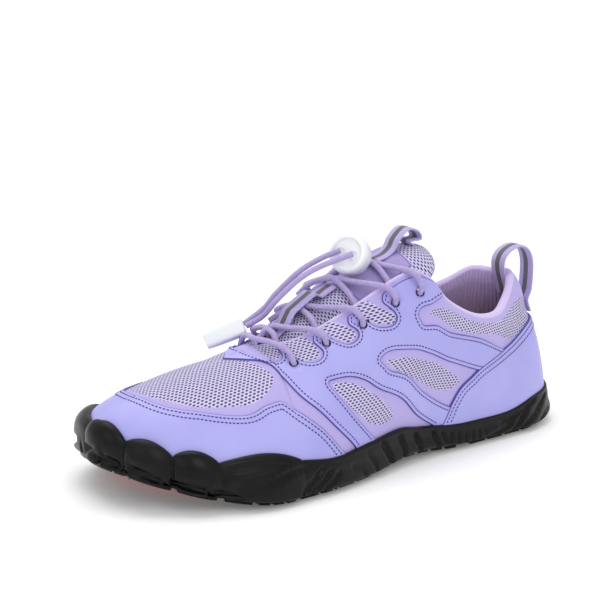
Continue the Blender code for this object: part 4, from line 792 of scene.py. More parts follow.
def inlayFinish():
    made, tree, shader = finish("orange rubber", 0.42, Specular_IOR_Level=0.45)
    where = node(tree, "TexCoord").outputs["Object"]
    lines = node(tree, "TexWave", {"Vector": where, "Scale": 42.0, "Distortion": 5.0, "Detail": 0.0, "Detail Scale": 0.7},
                 bands_direction="DIAGONAL").outputs["Fac"]
    cut = fade(tree, lines, 0.055, 0.02)
    grain = speckle(tree, 800)
    tone = mixed(tree, grain, colours["inlay"], tuple(0.88 * c for c in colours["inlay"]))
    plug(tree, shader, mixed(tree, cut, tone, colours["inlayCut"]), None, maths(tree, "SUBTRACT", maths(tree, "MULTIPLY", grain, 0.15), cut), 0.0003)
    return made


def laceFinish():
    made, tree, shader = finish("lace cord", 0.8, Sheen_Weight=0.3, Sheen_Roughness=0.5)
    fleck = speckle(tree, 1500, 2)
    braid = node(tree, "TexVoronoi", {"Vector": node(tree, "TexCoord").outputs["Object"], "Scale": 1300.0}).outputs["Distance"]
    tone = mixed(tree, fade(tree, braid, 0.2, 0.8), colours["lace"], tuple(0.82 * c for c in colours["lace"]))
    plug(tree, shader, tone, None, maths(tree, "SUBTRACT", maths(tree, "MULTIPLY", fleck, 0.3), braid), 0.00015, 0.6)
    return made


knit, coating = knitFinish(), coatingFinish("smooth coating", colours["coating"], colours["coatingShade"])
# dark finish for the panels' cut edges (partly real, partly painted shade under the step) and painted shade in the
# eyelet and lock holes
cutEdgeAndPaintedShade = plainFinish("cut edge and painted shade", colours["edge"], 0.6, 900, 0.00005)
thread = plainFinish("thread", colours["thread"], 0.6, 2500, 0.0001, 0.6)
rubber, inlay, striped, laceCord = rubberFinish(), inlayFinish(), tapeFinish(), laceFinish()
plastic = plainFinish("white plastic", colours["plastic"], 0.22, 500, 0.00002, 0.97, Coat_Weight=0.3, Coat_Roughness=0.1)
footbed = plainFinish("footbed", colours["footbed"], 0.9, 1200, 0.0003, 0.6, Sheen_Weight=0.2)
print("finishes are mixed")


# The two free lace ends, from the lock's face to the clip
def lockPoints():
    centre, axis, side, lift = lockFrame()
    share = np.array([last["length"], last["ball"], last["instepHeight"]])
    ends = [np.array(p) * share for p in clipEnds]
    heading = (ends[1] - ends[0]) / np.linalg.norm(ends[1] - ends[0])
    flat = np.cross([0, 0, 1.0], heading)
    flat /= np.linalg.norm(flat)
    face = centre + axis * (lock["depth"] / 2 * 0.86 + 4.5 * last["clearance"])
    gate = ends[0] - heading * 3 * last["clearance"]
    routes = [[face + side * sign * lock["cords"]] + [share * p for p in free] + [gate + flat * sign * clip["cords"]]
              for sign, free in ((1, freeEnds[0]), (-1, freeEnds[1]))]
    return centre, axis, side, lift, ends, heading, flat, routes


lockAt = lockPoints()
for name, route in zip(("laceEndLateral", "laceEndMedial"), lockAt[-1]):
    path = even(smoothLine(route, 24), 0.0009)
    data = bpy.data.curves.new(name, "CURVE")
    data.dimensions, data.bevel_depth, data.bevel_resolution, data.use_fill_caps = "3D", lace["diameter"] / 2, 5, True
    spline = data.splines.new("POLY")
    spline.points.add(len(path) - 1)
    for point, at in zip(spline.points, path - origin):
        point.co = (*at, 1)
    data.materials.append(laceCord)
    piece = bpy.data.objects.new(name, data)
    bpy.context.scene.collection.objects.link(piece)
    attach(piece, "root")
    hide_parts("lace_end_lateral" if "Lateral" in name else "lace_end_medial")


# The knit upper
upperLook = {
    "columns": 560, "rows": 60, "puff": 0.0012, "plump": 0.0020,
    "eyelets": (0.0027, 0.0030),     # reach of the holes, outside and in the lining
    "shadeFrom": 0.064, "shadeOver": 0.034,     # where the painted shade in the lining starts, and over what height it deepens
    # soft creases: where along the shoe, where up the side, reach of both, depth
    "creases": [(10.9, 0.80, 0.35, 0.30, -0.0004), (11.7, 0.78, 0.40, 0.30, 0.00035), (19.2, 0.80, 0.40, 0.30, -0.0004),
                (6.1, 0.62, 0.9, 0.10, -0.0004), (4.9, 0.55, 1.0, 0.12, 0.0003), (8.1, 0.40, 1.2, 0.08, -0.0003),
                (2.0, 0.40, 1.2, 0.18, 0.0004), (28.6, 0.45, 1.0, 0.14, -0.0004), (24.2, 0.58, 1.0, 0.10, -0.0004),
                (21.8, 0.40, 1.0, 0.12, 0.0003), (12.9, 0.45, 1.2, 0.12, 0.0003), (15.6, 0.55, 1.5, 0.12, -0.0003)],
}
holeZones = {
    "collar": [(6.2, 0.738), (5.76, 0.806), (5.12, 0.90), (4.5, 0.925), (3.06, 0.93), (1.84, 0.915), (0.74, 0.769), (0.76, 0.663),
               (1.48, 0.638), (2.78, 0.731), (3.56, 0.82), (5.06, 0.78)],
    "arch": [(8.84, 0.594), (8.52, 0.569), (8.16, 0.494), (7.56, 0.338), (7.28, 0.244), (7.5, 0.225), (7.9, 0.256), (8.34, 0.363),
             (8.68, 0.488)],
    "waist": [(7.66, 0.575), (7.32, 0.537), (6.5, 0.488), (5.4, 0.481), (4.72, 0.444), (4.66, 0.4), (5.1, 0.331), (5.94, 0.35),
              (7.04, 0.431)],
    "first": [(8.04, 0.99), (7.8, 0.99), (7.6, 0.869), (7.38, 0.781), (7.44, 0.744), (7.72, 0.80), (7.9, 0.88)],
    "second": [(8.6, 0.99), (8.42, 0.99), (8.16, 0.844), (8.14, 0.806), (8.36, 0.8), (8.54, 0.894)],
    "third": [(9.30, 0.99), (8.94, 0.99), (8.86, 0.819), (9.02, 0.788), (9.34, 0.794), (9.46, 0.844)],
    "base": [(10.02, 0.99), (9.70, 0.99), (9.66, 0.88), (9.84, 0.81), (10.02, 0.83), (10.16, 0.90)],
}
vampZone = [(185, -14), (185, 7), (181, 16), (180, 21), (185, 25), (193.5, 27.7), (204, 26.4), (219, 20.8), (229, 12.3),
            (235, 5.5), (237, -6), (234, -18), (226, -27), (212, -33.5), (199, -35), (189, -31), (185, -24)]


def relief(a, v):
    a, v = np.broadcast_arrays(np.asarray(a, float), np.asarray(v, float))
    row = np.where(a % loop <= lastRow, a % loop, loop - a % loop)
    height = upperLook["puff"] * np.clip((6.4 - row) / 1.2, 0, 1) * np.sin(np.pi * np.clip((v - 0.70) / 0.34, 0, 1)) ** 1.5
    for at, level, wide, tall, depth in upperLook["creases"]:
        away = (a - at + lastRow) % loop - lastRow
        height = height + depth * np.exp(-(away / wide + 0.5 * (v - level) / tall) ** 2 - ((v - level) / tall) ** 2)
    return height


def face(a, v, depth):
    return skin(a, v, np.asarray(depth) + relief(a, v))


def signedDistance(points, outline):
    # negative inside a closed outline
    found = np.full(len(points), 1e3)
    low, high = outline.min(0) - 6, outline.max(0) + 6
    near = np.flatnonzero(np.all((points > low) & (points < high), 1))
    for part in np.array_split(near, max(1, len(near) // 4000)):
        p = points[part][:, None]
        start, side = outline[None], (np.roll(outline, -1, 0) - outline)[None]
        t = np.clip(np.sum((p - start) * side, -1) / np.maximum(np.sum(side * side, -1), 1e-9), 0, 1)
        away = np.linalg.norm(p - start - t[..., None] * side, axis=-1).min(1)
        end = start + side
        crosses = (start[..., 1] > p[..., 1]) != (end[..., 1] > p[..., 1])
        at = start[..., 0] + (p[..., 1] - start[..., 1]) / np.where(side[..., 1] == 0, 1e-9, side[..., 1]) * side[..., 0]
        inside = np.count_nonzero(crosses & (at > p[..., 0]), 1) % 2 == 1
        found[part] = np.where(inside, -away, away)
    return found


def upTheSide(a, v):
    # length along the skin from the sole's edge, in mm
    a, v = np.broadcast_arrays(np.asarray(a, float), np.asarray(v, float))
    steps = np.linspace(0, 1, 33)
    flat = a.ravel()
    rows = surface(flat[:, None], steps[None, :])
    length = np.concatenate([np.zeros((len(flat), 1)), np.cumsum(np.linalg.norm(np.diff(rows, axis=1), axis=-1), 1)], 1)
    at = v.ravel() * 32
    k = np.clip(at.astype(int), 0, 31)
    n = np.arange(len(flat))
    return ((length[n, k] * (1 - at + k) + length[n, k + 1] * (at - k)) * 1000).reshape(a.shape)


def weaveOf(a, v):
    row = np.where(a % loop <= lastRow, a % loop, loop - a % loop)
    place = surface(a, v) * 1000
    side = np.stack([distanceTo(row) * 1000, upTheSide(a, v)], -1)
    return np.where((row > 10.1)[..., None], place[..., :2] + [0, 400], side), row


def holeZoneOf(a, v):
    weave, row = weaveOf(a, v)
    flat = weave.reshape(-1, 2)
    away = signedDistance(flat, smoothLoop(vampZone, 5) + [0, 400])
    for points in holeZones.values():
        line = smoothLoop(points, 5)
        chart = np.stack([distanceTo(line[:, 0]) * 1000, upTheSide(line[:, 0], np.clip(line[:, 1], 0, 1))], -1)
        away = np.minimum(away, signedDistance(flat, chart))
    return weave, np.clip(away, -3, 3).reshape(a.shape)


def eyeletPlaces():
    return [(k, s, *eyelet(k, s)) for k in range(len(eyelets)) for s in (True, False)]


def makeUpper():
    count, rows = upperLook["columns"], upperLook["rows"]
    a = (np.arange(count) + 0.5) * loop / count
    a = np.concatenate([a[a < 9.97], [10 - 1e-4, 10 + 1e-4], a[(a > 10.03) & (a < 19.97)], [20 - 1e-4, 20 + 1e-4], a[a > 20.03]])
    v = np.linspace(0, 1, rows)
    A, V = np.broadcast_arrays(a[:, None], v[None, :])
    outside = face(A, V, 0.0)
    weave, zone = holeZoneOf(A, V)
    row = np.where(a <= lastRow, a, loop - a)
    openTop = row < throatRow + 1e-3
    holes = np.zeros(A.shape, bool)
    for _, _, ea, ev in eyeletPlaces():
        holes |= np.linalg.norm(outside - surface(np.array([ea]), np.array([ev]))[0], axis=-1) < upperLook["eyelets"][0]
    net, faces = ringNet(outside)
    hidden = holes.ravel()
    faces = [tuple(i % (len(a) * rows) for i in f) for f in faces]
    faces = [f for f in faces if not any(hidden[i] for i in f)]
    points = outside.reshape(-1, 3)
    weave3 = np.concatenate([weave, np.zeros((*weave.shape[:2], 1))], -1).reshape(-1, 3)
    flag = lambda value, n: np.full(n, value, float)
    edgeShare = np.clip((V - 0.985) / 0.012, 0, 1) * openTop[:, None]
    nets, store = [(points, faces)], {"weave": [weave3], "zone": [zone.ravel()], "lining": [flag(0, len(points))],
                                      "binding": [edgeShare.ravel()], "deep": [flag(0, len(points))]}

    # the padded edge: a roll from the outside over to the lining
    columns = np.concatenate([a[a >= 20], a[a <= 10] + loop])
    thick = wallAt(columns % loop, np.ones(len(columns)))
    rowHere = np.where(columns % loop <= lastRow, columns % loop, loop - columns % loop)
    soft = np.clip((6.2 - rowHere) / 1.0, 0, 1)
    thick = thick + upperLook["plump"] * soft
    n = normal(columns % loop, np.ones(len(columns)))
    risen = surface(columns % loop, np.ones(len(columns))) - surface(columns % loop, np.full(len(columns), 0.985))
    risen /= np.linalg.norm(risen, axis=-1, keepdims=True)
    top = face(columns % loop, np.ones(len(columns)), 0.0)
    turn = np.linspace(0, np.pi, 11)
    centre = top - n * thick[:, None] / 2
    roll = (centre[:, None] + n[:, None] * (thick / 2)[:, None, None] * np.cos(turn)[None, :, None]
            + risen[:, None] * (0.5 * thick * (0.75 + 0.25 * soft))[:, None, None] * np.sin(turn)[None, :, None])
    down = np.linspace(1, 0.02, 40)[1:]
    C, D = np.broadcast_arrays(columns[:, None] % loop, down[None, :])
    inner = skin(C, D, -(wallAt(C, D) + upperLook["plump"] * soft[:, None] * np.clip((D - 0.55) / 0.45, 0, 1)))
    sheet = np.concatenate([roll, inner], 1)
    holes = np.zeros(sheet.shape[:2], bool)
    for _, _, ea, ev in eyeletPlaces():
        holes |= np.linalg.norm(sheet - skin(np.array([ea]), np.array([ev]), -0.0022)[0], axis=-1) < upperLook["eyelets"][1]
    p, f = grid(sheet)
    f = [q for q in f if not any(holes.ravel()[i] for i in q)]
    along2 = np.broadcast_to(runOf(inner[:, 12])[:, None] * 1000, sheet.shape[:2])
    nets.append((p, f))
    share = np.concatenate([np.linspace(1, 0.9, 8), np.linspace(0.8, 0, 3), np.zeros(39)])
    isLining = np.concatenate([np.zeros(8), [0.4, 0.7, 1], np.ones(39)])
    # painted shade: share of the darker lining colour, growing below a set height
    deep = np.clip((upperLook["shadeFrom"] - sheet[..., 2]) / upperLook["shadeOver"], 0, 1)
    store["weave"].append(np.stack([along2, np.zeros_like(along2), np.zeros_like(along2)], -1).reshape(-1, 3))
    store["zone"].append(flag(3, len(p)))
    store["lining"].append(np.broadcast_to(isLining, sheet.shape[:2]).ravel())
    store["binding"].append(np.broadcast_to(share, sheet.shape[:2]).ravel())
    store["deep"].append(deep.ravel())
    return makePiece("knitUpper", nets, [knit], ["upper"], 1e-5, {k: np.concatenate(s) for k, s in store.items()})


makeUpper()


# Smooth coated panels over the knit. Their lines are places along the shoe and up its side
panelLook = {"thickness": 0.0009, "over": 0.0014, "grid": 0.0026, "edgeStep": 0.0009}
quarterLines = {
    "front": [(10.96, 1.0), (10.76, 0.945), (10.56, 0.888), (10.30, 0.825), (10.12, 0.763), (9.98, 0.669),
              (9.74, 0.556), (9.3, 0.45), (8.88, 0.312), (8.46, 0.169), (8.28, 0.08)],
    "archLow": [(7.62, 0.08), (7.8, 0.156), (8.3, 0.306), (8.68, 0.463), (8.90, 0.580)],
    "archTop": [(8.93, 0.607), (8.86, 0.620), (8.5, 0.600), (8.14, 0.535), (7.6, 0.405), (6.44, 0.218), (5.28, 0.08)],
    "waistLow": [(4.50, 0.190), (4.72, 0.213), (6.22, 0.331), (7.4, 0.481), (7.70, 0.566)],
    "waistTop": [(7.77, 0.592), (7.70, 0.608), (7.52, 0.606), (6.94, 0.548), (5.88, 0.523), (4.74, 0.533), (3.80, 0.490)],
    "collarLow": [(2.70, 0.595), (2.88, 0.625), (4.04, 0.775), (5.36, 0.719), (6.38, 0.663), (6.68, 0.690)],
    "collarTop": [(6.78, 0.719), (6.66, 0.755), (6.1, 0.806), (5.58, 0.919), (5.46, 0.985)],
    "throat": [(5.9, 0.985), (6.2, 0.975), (6.6, 0.962), (7.0, 0.958), (7.30, 0.955)],
    "bayOne": [(7.52, 0.955), (7.56, 0.90), (7.40, 0.80), (7.37, 0.752), (7.50, 0.738), (7.76, 0.79), (7.97, 0.90), (8.02, 0.955)],
    "bayTwo": [(8.16, 0.955), (8.20, 0.90), (8.10, 0.83), (8.14, 0.786), (8.34, 0.784), (8.56, 0.87), (8.62, 0.955)],
    "bayThree": [(8.80, 0.955), (8.86, 0.90), (8.80, 0.81), (8.96, 0.765), (9.30, 0.785), (9.44, 0.85), (9.40, 0.955)],
    "baseBay": [(9.62, 0.955), (9.66, 0.90), (9.70, 0.83), (9.86, 0.785), (10.12, 0.81), (10.32, 0.875), (10.42, 0.945), (10.42, 1.0)],
}
guardLine = [(8.50, 0.08), (8.86, 0.19), (9.10, 0.28), (9.32, 0.35), (9.65, 0.42), (10.03, 0.49), (10.26, 0.54), (10.43, 0.55),
             (10.72, 0.55), (10.98, 0.53), (11.24, 0.53), (11.73, 0.555), (12.2, 0.592)]
guardToe = [(228.1, 17.1), (233.7, 11.8), (237.4, 6.0), (239.0, -1.6), (238.7, -8.0), (236.8, -14.5), (232.8, -20.7), (225.5, -25.8),
            (216.4, -29.1)]     # in plan, mm from the heel
guardMedial = [(18.5, 0.565), (19.0, 0.54), (19.65, 0.55), (20.0, 0.49), (20.35, 0.42), (20.68, 0.35),
             (20.90, 0.28), (21.14, 0.19), (21.50, 0.08)]
counterLine = [(5.16, 0.05), (5.02, 0.11), (4.93, 0.17), (4.84, 0.24), (4.61, 0.36), (4.33, 0.44), (3.91, 0.54), (3.10, 0.645), (2.50, 0.668),
               (1.83, 0.665), (0.77, 0.625), (0.0, 0.613)]


def under(start, end, step=0.2):
    a = np.linspace(start, end, max(2, int(abs(end - start) / step)))
    return np.column_stack([a, randTop(a % loop) - 0.045])


def spacing(line, step, closed=True):
    # the same line with even steps over the skin
    line = np.asarray(line, float)
    if closed:
        line = np.concatenate([line, line[:1]])
    places = surface(line[:, 0], line[:, 1])
    length = runOf(places)
    at = np.linspace(0, length[-1], max(4, int(round(length[-1] / step)) + 1))
    line = np.stack([np.interp(at, length, line[:, k]) for k in (0, 1)], -1)
    return line[:-1] if closed else line


def sideways(line, inset, closed=True):
    # the line moved to its left over the skin
    a, v = line[:, 0], line[:, 1]
    h = 0.004
    alongA = (surface(a + h, v) - surface(a - h, v)) / (2 * h)
    low, high = np.clip(v - h, 0, 1), np.clip(v + h, 0, 1)
    alongV = (surface(a, high) - surface(a, low)) / (high - low)[:, None]
    d = np.roll(line, -1, 0) - np.roll(line, 1, 0) if closed else np.gradient(line, axis=0)
    heading = alongA * d[:, :1] + alongV * d[:, 1:]
    heading /= np.linalg.norm(heading, axis=1, keepdims=True)
    n = np.cross(alongA, alongV)
    n /= np.linalg.norm(n, axis=1, keepdims=True)
    left = np.cross(n, heading) * inset
    g11, g12, g22 = (np.sum(x * y, 1) for x, y in ((alongA, alongA), (alongA, alongV), (alongV, alongV)))
    b1, b2 = np.sum(alongA * left, 1), np.sum(alongV * left, 1)
    det = g11 * g22 - g12 * g12
    return line + np.stack([(b1 * g22 - b2 * g12) / det, (g11 * b2 - g12 * b1) / det], -1)


def placeOf(points):
    # places on the toe's skin over points in plan
    a, v = np.meshgrid(np.linspace(11, 19.5, 340), np.linspace(0.4, 1, 120), indexing="ij")
    over = surface(a, v)[..., :2].reshape(-1, 2)
    found = []
    for p in points:
        k = np.argmin(np.sum((over - p) ** 2, 1))
        at = np.array([a.ravel()[k], v.ravel()[k]])
        for _ in range(3):
            here, h = surface(*at[:, None])[0][:2], 0.003
            alongA = (surface(np.array([at[0] + h]), at[1:])[0][:2] - here) / h
            alongV = (here - surface(at[:1], np.array([at[1] - h]))[0][:2]) / h
            step = np.linalg.lstsq(np.stack([alongA, alongV], 1), p - here, rcond=1e-3)[0]
            at = at + np.clip(step, -0.05, 0.05)
            at[1] = min(at[1], 1)
        found.append(at)
    return np.array(found)


def turned(line):
    line = np.asarray(line, float)
    after = np.roll(line, -1, 0)
    return line if np.sum(line[:, 0] * after[:, 1] - line[:, 1] * after[:, 0]) > 0 else line[::-1]


def inside(outline, points):
    px, py = outline[:, 0], outline[:, 1]
    qx, qy = np.roll(px, -1), np.roll(py, -1)
    found = np.zeros(len(points), bool)
    for part in np.array_split(np.arange(len(points)), max(1, len(points) // 2000)):
        x, y = points[part, 0][:, None], points[part, 1][:, None]
        crosses = (py > y) != (qy > y)
        at = px + (y - py) / np.where(qy == py, 1e-12, qy - py) * (qx - px)
        found[part] = np.count_nonzero(crosses & (at > x), 1) % 2 == 1
    return found


def lattice(outline, step, keep):
    # staggered points inside an outline, clear of its line
    low, high = outline.min(0), outline.max(0)
    rows = np.arange(low[1] + step[1] / 2, high[1], step[1])
    points = np.array([(x + (k % 2) * step[0] / 2, y) for k, y in enumerate(rows) for x in np.arange(low[0], high[0], step[0])])
    points = points[inside(outline, points)]
    clear = np.ones(len(points), bool)
    for part in np.array_split(np.arange(len(points)), max(1, len(points) // 1000)):
        gap = np.hypot((points[part, 0][:, None] - outline[:, 0]) / step[0], (points[part, 1][:, None] - outline[:, 1]) / step[1])
        clear[part] = gap.min(1) > keep
    return points[clear]


def makePanel(name, outline, thickness, replaced, holes=()):
    outline = spacing(turned(outline), panelLook["edgeStep"])
    rounds = [(0.0, -0.15), (0.0, 0.55), (0.00040, 0.88), (0.0008, 1.0)]
    joint = (outline[:, 1] > 0.996) & (np.abs(outline[:, 0] - lastRow) < 4.95)     # the two halves meet on the ridge
    loops = [np.where(joint[:, None], outline, sideways(outline, inset)) for inset, _ in rounds]
    for line in loops:
        line[:, 1] = np.minimum(line[:, 1], 1)
    rings = np.stack([face(line[:, 0], line[:, 1], thickness * np.where(joint, 1, share)) for line, (_, share) in zip(loops, rounds)], 1)
    edge = ringNet(rings[:, :3])
    bevel = ringNet(rings[:, 2:])
    scale = np.array([0.021, 0.068])
    cuts, rims = [], []
    for centre in holes:
        t = np.arange(24) * math.tau / 24
        at = surface(np.array([centre[0]]), np.array([centre[1]]))[0]
        n = normal(np.array([centre[0]]), np.array([centre[1]]))[0]
        first = np.cross(n, [1, 0, 0])
        first /= np.linalg.norm(first)
        second = np.cross(n, first)
        h = 0.004
        ea = (surface(centre[0] + h, centre[1]) - surface(centre[0] - h, centre[1])) / (2 * h)
        ev = (surface(centre[0], centre[1] + h) - surface(centre[0], centre[1] - h)) / (2 * h)
        offsets = lace["eyelet"] / 2 * (np.cos(t)[:, None] * first + np.sin(t)[:, None] * second)
        solved = np.linalg.lstsq(np.stack([ea.ravel(), ev.ravel()], 1), offsets.T, rcond=None)[0].T
        cuts.append(np.asarray(centre) + solved)
        ring = face(cuts[-1][:, 0], cuts[-1][:, 1], thickness)
        # painted shade: each eyelet's wall runs down under the panel in the dark edge finish, so the hole looks dark
        # inside
        rims.append(np.stack([ring, ring - n * 0.0006, ring - n * (thickness + 0.0032)], 1))
    base = loops[-1]
    points = lattice(base * scale, (panelLook["grid"], panelLook["grid"] * 0.87), 0.45)
    for cut in cuts:
        points = points[np.linalg.norm(points - (cut * scale).mean(0), axis=1) > 0.0030]
    plan, triangles, kinds = planMesh(base * scale, [cut * scale for cut in cuts], points)
    plan = plan / scale
    inner = face(plan[:, 0], plan[:, 1], thickness)
    triangles = [t for t, kind in zip(triangles, kinds) if kind == 0]
    nets = [edge, bevel, (inner, triangles)] + [ringNet(r) for r in rims]
    # the edge band and the eyelet walls take the dark edge finish, partly real cut edge and partly painted shade
    looks = [1, 0, 0] + [1] * len(rims)
    return makePiece(name, nets, [coating, cutEdgeAndPaintedShade], replaced, 2e-6, None, looks)


def quarterParts():
    q = {key: smoothLine(line, 6) for key, line in quarterLines.items()}
    outline = [q["front"], under(8.2, 7.7), q["archLow"], q["archTop"], under(5.2, 4.7), q["waistLow"], q["waistTop"],
               q["collarLow"], q["collarTop"], q["throat"], q["bayOne"], q["bayTwo"], q["bayThree"], q["baseBay"]]
    return np.concatenate(outline), q


quarterOutline, quarterSides = quarterParts()
flipSide = lambda line: np.column_stack([loop - np.asarray(line)[:, 0], np.asarray(line)[:, 1]])
counterSide = smoothLine(counterLine, 6)
counterWhole = np.concatenate([counterSide, (counterSide * [-1, 1])[::-1][1:]])
counterOutline = np.concatenate([counterWhole, under(-5.0, 5.0)])
guardTop = np.concatenate([smoothLine(guardLine, 6), placeOf(smoothLine(guardToe, 8) / 1000), smoothLine(guardMedial, 6)])
guardOutline = np.concatenate([guardTop, under(21.3, 8.7)])
makePanel("quarterLateral", quarterOutline, panelLook["thickness"], ["quarter_lateral"], [eyelet(k, True) for k in range(5)])
makePanel("quarterMedial", flipSide(quarterOutline), panelLook["thickness"], ["quarter_medial"], [eyelet(k, False) for k in range(5)])
makePanel("heelCounter", counterOutline, panelLook["over"], ["heel_counter"])
makePanel("toeGuard", guardOutline, panelLook["thickness"], ["toe_guard"])


# Stitching
# the last four are how far the rows stand from the edge beside them
seamLook = {"pitch": 0.0018, "dash": 0.00125, "thick": 0.00027, "window": 0.0019, "front": 0.0021, "bay": 0.0017, "double": (0.0018, 0.0041)}


def dashes(line, depth):
    line = spacing(line, 0.0003, False)
    each = max(1, int(round(seamLook["pitch"] / 0.0003)))
    places = face(line[:, 0], line[:, 1], depth)
    ups = normal(line[:, 0], line[:, 1])
    nets = []
    t = np.arange(5) * math.tau / 5
    for k in range(each // 2, len(line) - 1, each):
        heading = places[min(k + 2, len(line) - 1)] - places[max(k - 2, 0)]
        heading /= np.linalg.norm(heading)
        side = np.cross(ups[k], heading)
        stations = [(-0.5, 0.4), (-0.36, 1), (0.36, 1), (0.5, 0.4)]
        rings = np.stack([places[k] + heading * s * seamLook["dash"] + seamLook["thick"] * w
                          * (1.15 * np.cos(t)[:, None] * side + np.sin(t)[:, None] * ups[k]) for s, w in stations])
        nets.append(closedNet(rings))
        nets.append((rings[0], [tuple(range(5))]))
        nets.append((rings[-1], [tuple(range(5))]))
    return nets


def joinedNets(nets):
    points, faces, start = [], [], 0
    for p, f in nets:
        points.append(p)
        faces += [tuple(i + start for i in face) for face in f]
        start += len(p)
    return np.concatenate(points), faces


def seamNets():
    q, low = quarterSides, panelLook["thickness"]
    nets = []
    runs = [(np.concatenate([q["archLow"], q["archTop"]]), seamLook["window"]),
            (np.concatenate([q["waistLow"][6:], q["waistTop"]]), seamLook["window"]),
            (q["front"][q["front"][:, 1] < 0.80], seamLook["front"]),
            (np.concatenate([q["collarLow"][4:], q["collarTop"]]), seamLook["window"])]
    runs += [(q[bay], seamLook["bay"]) for bay in ("bayOne", "bayTwo", "bayThree", "baseBay")]
    for flip in (False, True):
        for line, inset in runs:
            moved = sideways(spacing(line, 0.001, False), -inset, False)
            moved = moved[(moved[:, 1] > randTop(moved[:, 0] % loop) + 0.005) & (moved[:, 1] < 0.99)]
            nets += dashes(flipSide(moved) if flip else moved, low)
    for inset in seamLook["double"]:
        line = spacing(guardTop, 0.001, False)
        places = surface(line[:, 0], line[:, 1])
        aside = np.cross(normal(line[:, 0], line[:, 1]), np.gradient(places, axis=0))
        aside /= np.linalg.norm(aside, axis=1, keepdims=True)
        overToes = (line[:, 0] > 12.2) & (line[:, 0] < 18.6)
        moved = sideways(line, -inset, False)
        moved[overToes] = placeOf((places + aside * inset)[overToes, :2])
        nets += dashes(moved[moved[:, 1] > randTop(moved[:, 0] % loop) + 0.004], low)
    for inset in seamLook["double"]:
        line = sideways(spacing(counterWhole, 0.001, False), inset, False)
        line = line[line[:, 1] > randTop(line[:, 0] % loop) + 0.004]
        nets += dashes(line, panelLook["over"])
    return nets


makePiece("stitching", [joinedNets(seamNets())], [thread])


